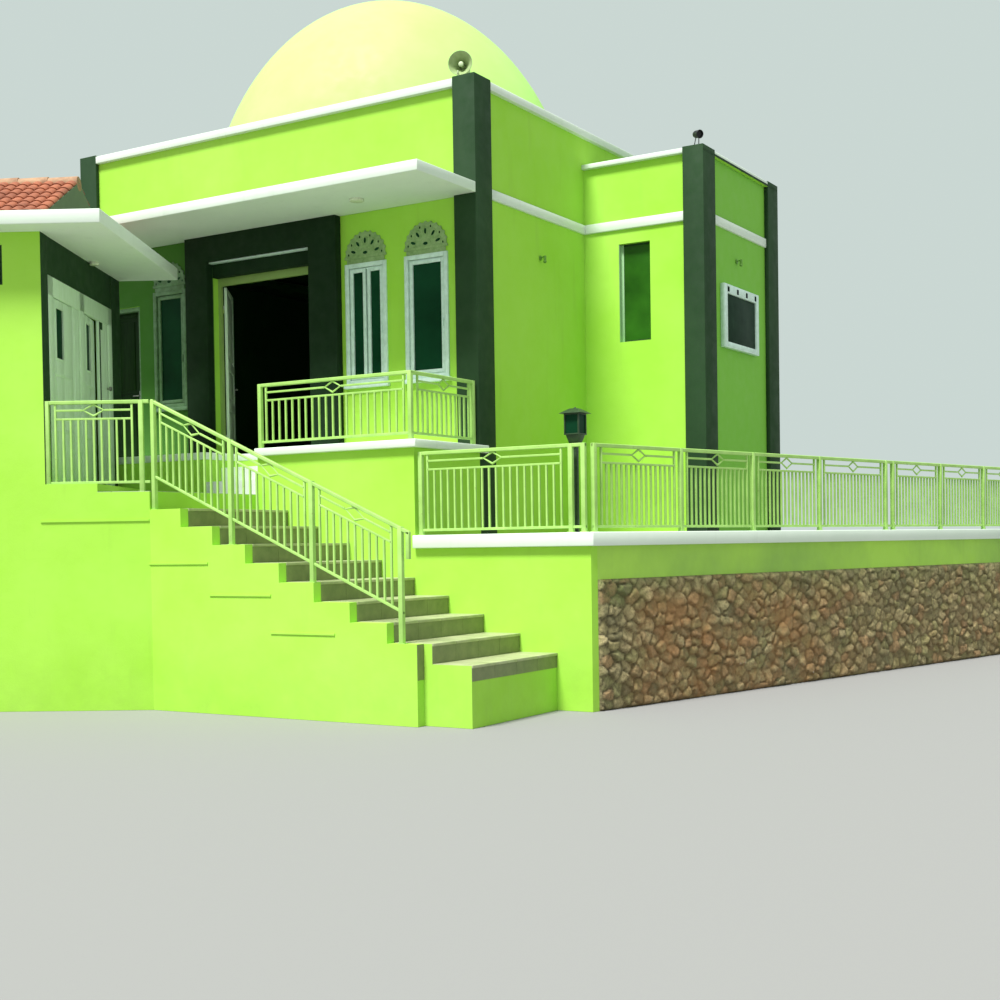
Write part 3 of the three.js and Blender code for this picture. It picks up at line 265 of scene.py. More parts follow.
hall_low, hall_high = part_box("hall_walls")
ceiling_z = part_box("hall_roof")[1].z - 0.004
room_centre = ((hall_low.x + hall_high.x) / 2, (hall_low.y + hall_high.y) / 2, (hall_low.z + ceiling_z) / 2)
room_reach = ((hall_high.x - hall_low.x) / 2 - 0.14, (hall_high.y - hall_low.y) / 2 - 0.14,
              (ceiling_z - hall_low.z) / 2)
# Painted shade: the faces inside the hall take a dark bottle green.
room_shade = (room_centre, room_reach, (30, 78, 28))
lime = ((162, 220, 66), (176, 228, 88), (118, 148, 66))
lime_paint = painted_plaster("lime_paint", *lime, 0.25, shade_zones=(room_shade,))
wear(("hall_walls", "front_wall_right", "hall_parapet", "annex_walls", "porch_platform",
      "landing_base", "stair_stringer", "terrace_base"), lime_paint)
dark_paint = painted_plaster("dark_paint", (30, 58, 30), (42, 72, 40), (70, 88, 56), 0.4, 0.74, (room_shade,))
recess_low, recess_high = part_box("front_wall_left")
# Painted shade: the front face of the wall left of the entry is a deeper green, as it lies deep under the
# roofs.
recess_shade = (((recess_low.x + recess_high.x) / 2, recess_low.y, 4.5), (3.0, 0.01, 3.0), (72, 124, 46))
recess_shaded_paint = painted_plaster("recess_shaded_paint", *lime, shade_zones=(room_shade, recess_shade))
wear(("wall_over_side_door", "front_wall_left"), recess_shaded_paint)
wing_low, wing_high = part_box("wing_walls")
# Painted shade: the wing's right side is a deeper green than its front.
shaded_side = ((wing_high.x, (wing_low.y + wing_high.y) / 2, 5.0), (0.01, 3.0, 5.1), (132, 196, 72))
wing_paint_and_shade = painted_plaster("wing_paint_and_shade", *lime, 0.25, shade_zones=(room_shade, shaded_side))
wear(("hall_plinth", "wing_walls", "wing_parapet"), wing_paint_and_shade)
# Painted shade: the entry's surround and the wall over it take a darker copy of the dark paint.
portal_paint_and_shade = painted_plaster("portal_paint_and_shade", (12, 38, 12), (20, 48, 20), (40, 60, 34), 0.3, 0.8, (room_shade,))
wear(("annex_wall_over_doors",), dark_paint)
wear(("wall_over_portal",), portal_paint_and_shade)
band_paint = painted_plaster("band_paint", (180, 226, 90), (144, 186, 88), (112, 128, 84))
wear(("road_wall_band",), band_paint)


# White-painted copings, roof edges and slabs of cast concrete. Their arrises are rubbed soft, and
# rain has drawn faint grey streaks down from the top. The roofs' upper sides are bare grey cement.
def deselect():
    if bpy.context.object and bpy.context.object.mode != "OBJECT":
        bpy.ops.object.mode_set(mode="OBJECT")
    bpy.ops.object.select_all(action="DESELECT")


def alone(piece):
    deselect()
    piece.select_set(True)
    bpy.context.view_layer.objects.active = piece


def edit_all():
    bpy.ops.object.mode_set(mode="EDIT")
    bpy.ops.mesh.select_all(action="SELECT")


def settle():
    """Puts the object's place, turn and size into its mesh."""
    bpy.ops.object.transform_apply(location=True, rotation=True, scale=True)


def apply_bevel(piece, width, segments=2, angle=35):
    modifier = piece.modifiers.new("eased", "BEVEL")
    modifier.width = width
    modifier.segments = segments
    modifier.limit_method = "ANGLE"
    modifier.angle_limit = math.radians(angle)
    bpy.ops.object.modifier_apply(modifier=modifier.name)


def loose_copy(node_name):
    """A copy of a built piece that no longer counts as one."""
    alone(nodes[node_name])
    bpy.ops.object.duplicate()
    piece = bpy.context.object
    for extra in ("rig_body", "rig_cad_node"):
        if extra in piece:
            del piece[extra]
    piece.parent = None
    return piece


def eased_copy(node_name, width, material):
    """A copy of a built piece with its arrises rounded."""
    piece = loose_copy(node_name)
    piece.name = node_name + "_cast"
    edit_all()
    bpy.ops.mesh.remove_doubles(threshold=0.0002)
    bpy.ops.mesh.dissolve_limited(angle_limit=math.radians(1))
    bpy.ops.object.mode_set(mode="OBJECT")
    apply_bevel(piece, width)
    bpy.ops.object.shade_smooth_by_angle(angle=math.radians(40))
    piece.data.materials.clear()
    piece.data.materials.append(material)
    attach(piece, "building")
    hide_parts(node_name)
    return piece


white_paint = painted_plaster("white_paint", (226, 236, 222), (216, 230, 212), (150, 162, 136), 0.3, 0.6,
                              (room_shade,))
for name in ("hall_coping", "wing_coping", "porch_slab", "terrace_coping"):
    eased_copy(name, 0.008, white_paint)
roof_paint = painted_plaster("roof_paint", (226, 236, 222), (216, 230, 212), (150, 162, 136), 0.3, 0.6, (room_shade,))
roof_tree = roof_paint.node_tree
roof_shader = roof_tree.nodes["Principled BSDF"]
way = node(roof_tree, "ShaderNodeNewGeometry")
way_parts = node(roof_tree, "ShaderNodeSeparateXYZ")
roof_tree.links.new(way.outputs["Normal"], way_parts.inputs[0])
grime = blend_colour(roof_tree, ramp(roof_tree, noise(roof_tree, 1.1, 6.0, 0.65), 0.35, 0.7),
                     srgb(150, 156, 138), srgb(104, 112, 94))
clean = roof_shader.inputs["Base Color"].links[0].from_socket
decked = blend_colour(roof_tree, ramp(roof_tree, way_parts.outputs["Z"], 0.85, 0.97), clean, grime)
roof_tree.links.new(decked, roof_shader.inputs["Base Color"])
for name in ("hall_roof", "front_canopy", "wing_roof", "annex_slab"):
    eased_copy(name, 0.008, roof_paint)

# The wing's coping: on the wing's right side a dark strip along the lower half of its face is painted
# shade, and its underside is green like the wall.
def block(low, high, ease=0.0):
    """A block between two corners, with its arrises eased."""
    deselect()
    size = Vector(high) - Vector(low)
    bpy.ops.mesh.primitive_cube_add(size=1, location=(Vector(low) + Vector(high)) / 2)
    piece = bpy.context.object
    piece.scale = size
    settle()
    if ease:
        apply_bevel(piece, ease)
    return piece


def joined(name, parts, material):
    deselect()
    for part in parts:
        part.select_set(True)
    bpy.context.view_layer.objects.active = parts[0]
    if len(parts) > 1:
        bpy.ops.object.join()
    piece = bpy.context.object
    piece.name = name
    piece.data.materials.clear()
    piece.data.materials.append(material)
    bpy.ops.object.shade_smooth_by_angle(angle=math.radians(35))
    return piece


def placed(piece, origin, turn):
    """Turns a piece about the upright through its origin, then moves it to its place."""
    alone(piece)
    piece.rotation_euler = (0, 0, turn)
    piece.location = origin
    settle()
    return piece


def carried(piece, body, slot, *replaced):
    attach(piece, body)
    if replaced:
        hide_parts(*replaced)
    return piece


def fixed(name, parts, material, slot, *replaced):
    """One piece of the standing building, made of its parts."""
    carried(joined(name, parts, material), "building", slot, *replaced)


low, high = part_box("wing_coping")
# Painted shade: a dark strip along the lower half of the coping's right face.
strip = block((high.x - 0.004, low.y + 0.012, low.z - 0.001), (high.x + 0.002, high.y - 0.012, low.z + 0.028))
fixed("wing_coping_shade_line", [strip], dark_paint, "dark_render")
under = block((high.x - 0.058, low.y + 0.012, low.z - 0.003), (high.x - 0.001, high.y - 0.012, low.z + 0.001))
fixed("wing_coping_underside", [under], wing_paint_and_shade, "wall_render")

# Corner pilasters and the gate-like surround of the entry, raised in plaster and painted a dark
# grey-green. Their arrises are sharp, and the paint is a little glossier than on the walls. The
# surround of the entry is darker still, as painted shade under the canopy.
for name in ("pilaster_front_right", "pilaster_front_left", "pilaster_back_right", "pilaster_back_left",
             "pilaster_wing_front", "pilaster_wing_back"):
    eased_copy(name, 0.006, dark_paint)
eased_copy("entry_portal", 0.006, portal_paint_and_shade)

# The dome: a thin concrete shell over the hall, smoothed by hand and painted pale yellow-green. It
# stands on a low ring in the roof.
dome_low, dome_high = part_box("dome")
dome_centre = (dome_low + dome_high) / 2
dome_radius = (dome_high.x - dome_low.x) / 2
dome_height = dome_high.z - dome_low.z
# Painted shade: the inside of the shell is a dark bottle green.
dome_inside_shade = ((dome_centre.x, dome_centre.y, dome_low.z), (dome_radius - 0.06, dome_radius - 0.06,
                                                            dome_height - 0.06), (30, 78, 28))
dome_paint = painted_plaster("dome_paint", (178, 232, 118), (188, 238, 132), (158, 198, 100), 0.0, 0.66,
                             (dome_inside_shade,), True)
deselect()
bpy.ops.mesh.primitive_uv_sphere_add(segments=96, ring_count=64, radius=1,
                                     location=(dome_centre.x, dome_centre.y, dome_low.z))
dome = bpy.context.object
dome.name = "dome_shell"
dome.scale = (dome_radius - 0.002, dome_radius - 0.002, dome_height - 0.002)
settle()
edit_all()
bpy.ops.mesh.bisect(plane_co=(0, 0, dome_low.z + 0.0005), plane_no=(0, 0, 1), clear_inner=True)
bpy.ops.object.mode_set(mode="OBJECT")
shell = dome.modifiers.new("shell", "SOLIDIFY")
shell.thickness = 0.1
shell.offset = -1
bpy.ops.object.modifier_apply(modifier=shell.name)
bpy.ops.object.shade_smooth_by_angle(angle=math.radians(50))
dome.data.materials.append(dome_paint)
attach(dome, "building")
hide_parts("dome")


# Windows of the hall front: a white casing planted on the wall, casements with dark glass, a sill,
# and over each an arched head of carved fretwork with lobed edge and dark piercings.
def frame_bars(x0, x1, z0, z1, y0, y1, width, ease=0.004):
    """Four bars round an upright opening."""
    return [
        block((x0, y0, z0), (x0 + width, y1, z1), ease),
        block((x1 - width, y0, z0), (x1, y1, z1), ease),
        block((x0 + width, y0, z1 - width), (x1 - width, y1, z1), ease),
        block((x0 + width, y0, z0), (x1 - width, y1, z0 + width), ease),
    ]


def ring(centre, across, up, thick, depth, half=False, segments=28):
    """A moulded ring standing in x and z, or the upper half of one."""
    deselect()
    bpy.ops.mesh.primitive_torus_add(major_segments=segments, minor_segments=8, major_radius=1,
                                     minor_radius=0.5, rotation=(math.pi / 2, 0, 0))
    piece = bpy.context.object
    settle()
    for vertex in piece.data.vertices:
        radius = math.hypot(vertex.co.x, vertex.co.z)
        side = (radius - 1) * thick
        vertex.co = (vertex.co.x / radius * (across + side), vertex.co.y * depth,
                     vertex.co.z / radius * (up + side))
    if half:
        edit_all()
        bpy.ops.mesh.bisect(plane_co=(0, 0, 0), plane_no=(0, 0, 1), clear_inner=True, use_fill=True)
        bpy.ops.object.mode_set(mode="OBJECT")
    piece.location = centre
    settle()
    return piece


def half_disc(centre, across, up, depth):
    """A plate standing in x and z: the upper half of an ellipse."""
    deselect()
    bpy.ops.mesh.primitive_cylinder_add(vertices=56, radius=1, depth=depth, rotation=(math.pi / 2, 0, 0))
    piece = bpy.context.object
    settle()
    edit_all()
    bpy.ops.mesh.bisect(plane_co=(0, 0, 0), plane_no=(0, 0, 1), clear_inner=True, use_fill=True)
    bpy.ops.object.mode_set(mode="OBJECT")
    piece.scale = (across, 1, up)
    piece.location = centre
    settle()
    return piece


def leaf_hole(start, end, half_width):
    """A pointed cut shown as a thin dark lozenge between two points in x and z: painted shade in the hole."""
    deselect()
    start, end = Vector(start), Vector(end)
    bpy.ops.mesh.primitive_cylinder_add(vertices=8, radius=1, depth=0.003, rotation=(math.pi / 2, 0, 0))
    piece = bpy.context.object
    settle()
    piece.scale = ((end - start).length / 2, 1, half_width)
    settle()
    piece.rotation_euler = (0, -math.atan2(end.z - start.z, end.x - start.x), 0)
    piece.location = (start + end) / 2
    settle()
    return piece


white_frames = mottled("white_frames", (14.0,), (220, 242, 232), (200, 224, 210), ((90.0,), 0.08, 0.001),
                       span=(0.35, 0.7), roughness=0.35)
# Painted shade: a darker copy of the white frames, for the left window and the side door deep in the recess.
shaded_white_frames = mottled("shaded_white_frames", (14.0,), (118, 152, 116), (94, 126, 88), ((90.0,), 0.08, 0.001),
                     span=(0.35, 0.7), roughness=0.45)
# Dark glass for the panes; the same colour serves as painted shade in the fretwork's piercings.
dark_glass_and_shade = mottled("dark_glass_and_shade", (1.3,), (6, 44, 24), (18, 68, 42), roughness=0.35, specular=0.06)
tracery_paint = mottled("tracery_paint", (22.0,), (152, 180, 122), (124, 156, 94), ((120.0,), 0.2, 0.002),
                        span=(0.35, 0.7), roughness=0.7)

wall_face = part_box("front_wall_right")[0].y
arch_foot = 5.40
arch_height = 0.31
casing = 0.055
for window_name, lights in (("window_front_left", 1), ("window_front_middle", 2), ("window_front_right", 1)):
    low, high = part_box(window_name)
    x0, x1 = low.x + 0.025, high.x - 0.025
    sill_z = low.z + 0.045
    head_z = 5.31
    bars = frame_bars(x0, x1, sill_z, head_z, wall_face - 0.025, wall_face + 0.03, casing, 0.006)
    inner0, inner1 = x0 + casing, x1 - casing
    bars += frame_bars(inner0 + 0.002, inner1 - 0.002, sill_z + casing + 0.002, head_z - casing - 0.002,
                       wall_face + 0.005, wall_face + 0.09, 0.02, 0.002)
    width = (inner1 - inner0) / lights
    panes = []
    for light in range(lights):
        a, b = inner0 + light * width + 0.012, inner0 + (light + 1) * width - 0.012
        bars += frame_bars(a, b, sill_z + casing + 0.012, head_z - casing - 0.012, wall_face - 0.003,
                           wall_face + 0.05, 0.045, 0.005)
        panes.append(block((a + 0.04, wall_face + 0.02, sill_z + casing + 0.05),
                           (b - 0.04, wall_face + 0.028, head_z - casing - 0.05)))
        catch = block((b - 0.034, wall_face - 0.016, sill_z + 0.62),
                      (b - 0.012, wall_face - 0.002, sill_z + 0.72), 0.003)
        bars.append(catch)
    sill = block((low.x, low.y, low.z), (high.x, wall_face, sill_z + 0.005), 0.006)
    bars.append(sill)
    # Painted shade: the left window's frames and fretwork take the darker copy.
    frame_paint = shaded_white_frames if window_name == "window_front_left" else white_frames
    fixed(window_name + "_frames", bars, frame_paint, "white_joinery", window_name)
    fixed(window_name + "_panes", panes, dark_glass_and_shade, "white_joinery")
    middle = (x0 + x1) / 2
    half = (x1 - x0) / 2
    base_y = wall_face - 0.008
    tracery = [half_disc((middle, base_y, arch_foot), half - 0.015, arch_height - 0.018, 0.016),
               block((x0, base_y - 0.014, arch_foot - 0.03), (x1, base_y + 0.008, arch_foot + 0.004), 0.004),
               block((x0 + 0.03, base_y - 0.004, head_z), (x1 - 0.03, base_y + 0.006, arch_foot - 0.02), 0.003)]
    piercings = []
    for lobe in range(1, 12):
        angle = math.pi * lobe / 12
        spot = (middle + math.cos(angle) * (half - 0.02), base_y,
                arch_foot + math.sin(angle) * (arch_height - 0.022))
        tracery.append(ring(spot, 0.012, 0.012, 0.022, 0.016, False, 12))
    for petal in range(5):
        angle = math.pi * (petal + 0.5) / 5
        along = Vector((math.cos(angle) * half, 0, math.sin(angle) * arch_height))
        centre = Vector((middle, base_y, arch_foot)) + along * 0.60
        tracery.append(ring(centre, 0.046, 0.048, 0.016, 0.026))
        inner = Vector((middle, base_y - 0.0085, arch_foot)) + along * 0.48
        outer = Vector((middle, base_y - 0.0085, arch_foot)) + along * 0.72
        piercings.append(leaf_hole(inner, outer, 0.017))
        for side in (-1, 1):
            off = angle + side * math.pi / 10
            dot = Vector((middle + math.cos(off) * half * 0.80, base_y - 0.0085,
                          arch_foot + max(math.sin(off), 0.10) * arch_height * 0.80))
            piercings.append(leaf_hole(dot - Vector((0, 0, 0.016)), dot + Vector((0, 0, 0.016)), 0.010))
    tracery.append(ring((middle, base_y, arch_foot + 0.004), half * 0.26, arch_height * 0.30, 0.018, 0.026,
                        True, 24))
    piercings.append(leaf_hole((middle - 0.035, base_y - 0.0085, arch_foot + 0.035),
                               (middle + 0.035, base_y - 0.0085, arch_foot + 0.035), 0.02))
    fret_paint = shaded_white_frames if window_name == "window_front_left" else tracery_paint
    fixed(window_name + "_tracery", tracery, fret_paint, "white_render")
    # Painted shade: the piercings are dark plates standing in the holes.
    fixed(window_name + "_piercings", piercings, dark_glass_and_shade, "dark_render")

# Tall fixed light in the wing: green glass in a slim dark frame set deep in a plastered reveal, whose
# left cheek is painted white.
low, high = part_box("window_wing")
bars = frame_bars(low.x + 0.001, high.x - 0.001, low.z + 0.001, high.z - 0.001, low.y, high.y, 0.022, 0.003)
fixed("window_wing_frame", bars, dark_paint, "dark_render", "window_wing")
green_glass = mottled("green_glass", (1.6,), (28, 70, 18), (50, 106, 28), roughness=0.2, specular=0.3)
pane = block((low.x + 0.02, low.y + 0.012, low.z + 0.02), (high.x - 0.02, low.y + 0.02, high.z - 0.02))
fixed("window_wing_pane", [pane], green_glass, "white_joinery")
cheek_paint = painted_plaster("cheek_paint", (150, 192, 140), (166, 204, 154), (120, 150, 100), 0.3, 0.6)
cheek = [block((low.x + 0.0005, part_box("wing_walls")[0].y + 0.006, low.z + 0.004),
               (low.x + 0.005, low.y - 0.001, high.z - 0.004)),
         block((low.x + 0.001, low.y - 0.002, low.z + 0.002),
               (low.x + 0.040, low.y + 0.016, high.z - 0.002), 0.002)]
fixed("window_wing_cheek", cheek, cheek_paint, "white_joinery")

# Notice board on the wing's side: a deep white frame round a dark bare panel, with a row of
# four dark dentils along the frame's top.
low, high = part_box("notice_board")
stile = 0.10
bottom_rail = 0.08
top_rail = 0.125
board = [
    block((low.x, low.y, low.z), (high.x, low.y + stile, high.z), 0.008),
    block((low.x, high.y - stile, low.z), (high.x, high.y, high.z), 0.008),
    block((low.x, low.y + stile, high.z - top_rail), (high.x, high.y - stile, high.z), 0.008),
    block((low.x, low.y + stile, low.z), (high.x, high.y - stile, low.z + bottom_rail), 0.008),
]
fixed("notice_board_frame", board, white_frames, "board", "notice_board")
slate = mottled("board_panel", (5.0,), (20, 44, 30), (36, 60, 44), ((70.0,), 0.1, 0.002), roughness=0.45,
                specular=0.05)
panel = [block((low.x + 0.002, low.y + stile - 0.01, low.z + bottom_rail - 0.01),
               (low.x + 0.045, high.y - stile + 0.01, high.z - top_rail + 0.01), 0.002)]
for index in range(4):
    y = low.y + stile + 0.03 + (high.y - low.y - 2 * stile - 0.06) * index / 3
    panel.append(block((high.x - 0.012, y - 0.036, high.z - 0.105), (high.x, y + 0.036, high.z - 0.030), 0.003))
fixed("notice_board_panel", panel, slate, "board")

# Entry: a painted steel frame at the back of the wall with two framed leaves, both left open.
# A pale strip under the dark lintel is a painted highlight on its lower edge.
hinges = {joint["child"]: Vector(joint["pos_m"]) for joint in frame["joints"]}
low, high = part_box("portal_frame")
clear_left = hinges["portal_door_left"].x
clear_right = hinges["portal_door_right"].x
# Painted shade: the side door's frame takes the darker copy of the white frames.
wear(("side_door_frame",), shaded_white_frames)
green_frame = painted_plaster("green_frame", (140, 168, 92), (154, 182, 104), (100, 126, 66), 0.3, 0.5)
wear(("portal_frame",), green_frame)
# Painted highlight: a pale strip along the lintel's lower edge.
line = block((low.x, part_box("entry_portal")[1].y - 0.07, 5.575),
             (high.x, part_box("entry_portal")[1].y - 0.001, 5.598), 0.003)
fixed("portal_lintel_highlight", [line], white_frames, "white_render")
board_grain = (7.0, 5.0, 0.6, (8.0, 8.0, 0.7))
cream_wood = mottled("cream_wood", board_grain, (222, 244, 216), (206, 232, 194), (board_grain, 0.15, 0.002),
                     span=(0.35, 0.7), roughness=0.42)
dark_grain = (7.0, 6.0, 0.6, (9.0, 9.0, 0.6))
dark_wood = mottled("dark_wood", dark_grain, (16, 40, 12), (28, 56, 20), (dark_grain, 0.25, 0.002),
                    span=(0.35, 0.7), roughness=0.45, specular=0.1)
door_metal = mottled("door_metal", (40.0,), (176, 176, 170), (140, 140, 134), roughness=0.28, metallic=0.9)


def rod(start, end, radius, sides=12, ease=0.0):
    deselect()
    start, end = Vector(start), Vector(end)
    bpy.ops.mesh.primitive_cylinder_add(vertices=sides, radius=radius, depth=(end - start).length,
                                        location=(start + end) / 2)
    piece = bpy.context.object
    piece.rotation_euler = (end - start).to_track_quat("Z", "Y").to_euler()
    settle()
    if ease:
        apply_bevel(piece, ease)
    return piece


hinge_back = -0.008
leaf_thick = 0.04


def leaf_parts(width, z0, z1, panels):
    """Stiles, rails and raised panels of a leaf, closed along +x from its hinge."""
    face = hinge_back - leaf_thick
    stile = 0.11
    parts = [block((0.006, face, z0), (stile, hinge_back, z1), 0.004),
             block((width - stile, face, z0), (width, hinge_back, z1), 0.004)]
    levels = [z0] + panels + [z1]
    for level in levels:
        a = max(z0, level - 0.06)
        b = min(z1, level + 0.06)
        parts.append(block((stile - 0.002, face, a), (width - stile + 0.002, hinge_back, b), 0.004))
    for a, b in zip(levels[:-1], levels[1:]):
        parts.append(block((stile - 0.004, face + 0.012, a + 0.05),
                           (width - stile + 0.004, hinge_back - 0.012, b - 0.05)))
        parts.append(block((stile + 0.05, face + 0.003, a + 0.12),
                           (width - stile - 0.05, hinge_back - 0.003, b - 0.12), 0.006))
    return parts


def lever_parts(x, z):
    """A lever handle and its plate on the outer face, inside the leaf's outline."""
    face = hinge_back - leaf_thick
    return [
        block((x - 0.022, face - 0.006, z - 0.10), (x + 0.022, face + 0.001, z + 0.07), 0.002),
        rod((x, face + 0.001, z), (x, face - 0.045, z), 0.009),
        rod((x, face - 0.042, z), (x - 0.11, face - 0.042, z), 0.009, 12, 0.003),
    ]


def knuckle_parts(z0, z1):
    """The moving halves of two hinges, each standing on its fixed half."""
    fixed_half = 0.0504
    parts = []
    for foot in (z0 + 0.25 + fixed_half, z1 - 0.35 + fixed_half):
        parts.append(rod((0, 0, foot), (0, 0, foot + 0.05), 0.007, 14))
        parts.append(block((0.002, hinge_back - 0.001, foot), (0.03, -0.002, foot + 0.05)))
    return parts


low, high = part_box("portal_leaf_left")
leaf_bottom, leaf_top = low.z, high.z
leaf_width = (clear_right - clear_left) / 2 - 0.008
for body, mirror, turn in (("portal_door_left", 1, 126), ("portal_door_right", -1, -105)):
    wood = leaf_parts(leaf_width, leaf_bottom, leaf_top, [leaf_bottom + 0.75, leaf_bottom + 1.3])
    metal = lever_parts(leaf_width - 0.06, leaf_bottom + 1.04)
    metal += knuckle_parts(leaf_bottom, leaf_top)
    name = "portal_leaf_left" if mirror == 1 else "portal_leaf_right"
    for suffix, parts, material, slot in (("_wood", wood, cream_wood, "white_door"),
                                          ("_fittings", metal, door_metal, "white_door")):
        piece = joined(name + suffix, parts, material)
        if mirror == -1:
            piece.scale = (-1, 1, 1)
            settle()
            edit_all()
            bpy.ops.mesh.normals_make_consistent(inside=False)
            bpy.ops.object.mode_set(mode="OBJECT")
        placed(piece, (hinges[body].x, hinges[body].y, 0), math.radians(turn))
        if suffix == "_wood":
            carried(piece, body, slot, name)
        else:
            carried(piece, body, slot)

# Side door at the left end of the front: a dark panelled leaf with a lever, closed.
low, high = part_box("side_door_leaf")
side_width = high.x - hinges["side_door"].x
wood = leaf_parts(side_width, low.z, high.z, [low.z + 0.95])
piece = placed(joined("side_door_wood", wood, dark_wood), (hinges["side_door"].x, hinges["side_door"].y, 0), 0)
carried(piece, "side_door", "dark_door", "side_door_leaf")
metal = lever_parts(side_width - 0.06, low.z + 0.98)
metal += knuckle_parts(low.z, high.z)
piece = placed(joined("side_door_fittings", metal, door_metal),
               (hinges["side_door"].x, hinges["side_door"].y, 0), 0)
carried(piece, "side_door", "dark_door")

# Annex: two pairs of white boarded leaves in a white frame in its right side, the far leaf of each
# pair bolted. Each near leaf has a tall pane of dark glass. The wall round the frame is painted dark.
annex_turn = math.radians(30)
annex_origin = (corner_x - 2.273, corner_y - 3.159, 0)
annex_right = -1.141
annex_depth = 2.95
frame_near, frame_far = 0.21, 2.57


def on_annex(name, parts, material, slot, *replaced):
    """A piece drawn square to the annex, then turned and set in its place with it."""
    carried(placed(joined(name, parts, material), annex_origin, annex_turn), "building", slot, *replaced)


annex_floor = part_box("annex_walls")[0].z
annex_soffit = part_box("annex_walls")[1].z
door_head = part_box("annex_wall_over_doors")[0].z
leaf_back = annex_right + 0.01 - 0.05
for index, (a, b) in enumerate(((0.0, frame_near), (frame_far, annex_depth))):
    skin = block((annex_right, a, annex_floor), (annex_right + 0.006, b - 0.001, annex_soffit - 0.001), 0.001)
    on_annex("annex_dark_paint_%d" % index, [skin], dark_paint, "dark_render")
frame_face = annex_right + 0.01
head_low = 4.58
white_parts = [
    block((leaf_back, frame_near + 0.001, annex_floor), (frame_face, 0.377, door_head - 0.001), 0.005),
    block((leaf_back, 1.30, annex_floor), (frame_face, 1.477, door_head - 0.001), 0.005),
    block((leaf_back, 2.42, annex_floor), (frame_face, frame_far - 0.001, door_head - 0.001), 0.005),
    block((leaf_back, frame_near + 0.001, head_low), (frame_face, frame_far - 0.001, door_head - 0.001), 0.005),
]
for a, b in ((1.048, 1.301), (2.062, 2.421)):
    white_parts.append(block((leaf_back, a, annex_floor), (leaf_back + 0.04, b, head_low + 0.002), 0.004))
    boards = 4
    for board_index in range(boards):
        y0 = a + 0.05 + (b - a - 0.1) * board_index / boards
        y1 = a + 0.05 + (b - a - 0.1) * (board_index + 1) / boards - 0.006
        white_parts.append(block((leaf_back + 0.038, y0, annex_floor + 0.12),
                                 (leaf_back + 0.046, y1, head_low - 0.10), 0.003))
on_annex("annex_door_frame_wood", white_parts, cream_wood, "white_door", "annex_door_frame")
# Painted shadow: a dark plate on the bolted leaf's edge, in the gap beside the ajar far leaf.
shadow = [block((leaf_back + 0.038, 2.068, annex_floor + 0.02), (leaf_back + 0.043, 2.19, head_low - 0.01))]
on_annex("annex_gap_shadow", shadow, dark_paint, "dark_render")
knob = [rod((leaf_back + 0.04, 2.33, 3.77), (leaf_back + 0.085, 2.33, 3.77), 0.012),
        rod((leaf_back + 0.075, 2.33, 3.77), (leaf_back + 0.105, 2.33, 3.77), 0.028, 20, 0.008)]
on_annex("annex_knob", knob, door_metal, "white_door")
for body, cad_name, near, far, ajar in (("annex_door_near", "annex_leaf_near", 0.38, 1.04, 0),
                                        ("annex_door_far", "annex_leaf_far", 1.48, 2.054, 6)):
    z0, z1 = annex_floor + 0.01, head_low - 0.008
    width = far - near
    slit0, slit1, slit_low, slit_high = 0.09, 0.34, 3.915, 4.48
    face = hinge_back - leaf_thick
    parts = [
        block((0.006, face, z0), (slit0, hinge_back, z1), 0.003),
        block((slit1, face, z0), (width, hinge_back, z1), 0.003),
        block((slit0 - 0.001, face, z0), (slit1 + 0.001, hinge_back, slit_low), 0.003),
        block((slit0 - 0.001, face, slit_high), (slit1 + 0.001, hinge_back, z1), 0.003),
    ]
    parts += frame_bars(slit0 - 0.018, slit1 + 0.018, slit_low - 0.018, slit_high + 0.018, face - 0.006,
                        face + 0.004, 0.022, 0.002)
    for level in (z0 + 0.62, z0 + 1.25):
        parts.append(block((0.03, face - 0.005, level - 0.02), (width - 0.03, face + 0.002, level + 0.02),
                           0.002))
    turn = annex_turn + math.radians(90 + ajar)
    spot = (hinges[body].x, hinges[body].y, 0)
    carried(placed(joined(cad_name + "_wood", parts, cream_wood), spot, turn), body, "white_door", cad_name)
    glass = [block((slit0 - 0.002, hinge_back - 0.024, slit_low - 0.002),
                   (slit1 + 0.002, hinge_back - 0.016, slit_high + 0.002))]
    carried(placed(joined(cad_name + "_glass", glass, dark_glass_and_shade), spot, turn), body, "white_door")
    carried(placed(joined(cad_name + "_hinges", knuckle_parts(z0, z1), door_metal), spot, turn), body,
            "white_door")

# Roof of the annex: two slopes of half-round orange clay tiles over a solid bed, with a ridge of pale
# capping tiles and gable ends of grey-green mortar. A small louvred vent is in the front wall below.
bed_low = 5.375
ridge_y = annex_depth / 2 - 0.06
ridge_z = 6.11
annex_left = -4.341
clay, clay_tree, clay_shader = bare_material("clay_tile", 0.8)
clay_base = blend_colour(clay_tree, ramp(clay_tree, noise(clay_tree, 4.0), 0.35, 0.68), srgb(172, 100, 68),
                         srgb(140, 80, 56))
clay_tone = blend_colour(clay_tree, ramp(clay_tree, noise(clay_tree, 28.0, 6.0), 0.55, 0.78, 0.0, 0.7),
                         clay_base, srgb(88, 62, 50))
clay_tree.links.new(clay_tone, clay_shader.inputs["Base Color"])
bumped(clay_tree, clay_shader, ((noise(clay_tree, 60.0), 0.3, 0.004),))
mortar = painted_plaster("mortar", (104, 122, 98), (118, 134, 108), (84, 98, 76), 0.0, 0.85)
wear(("annex_tiled_roof",), mortar)
slope = math.atan2(ridge_z - bed_low, ridge_y)
slope_length = math.hypot(ridge_z - bed_low, ridge_y)
rows = 8
columns = 24
pitch_x = (annex_right - annex_left) / columns
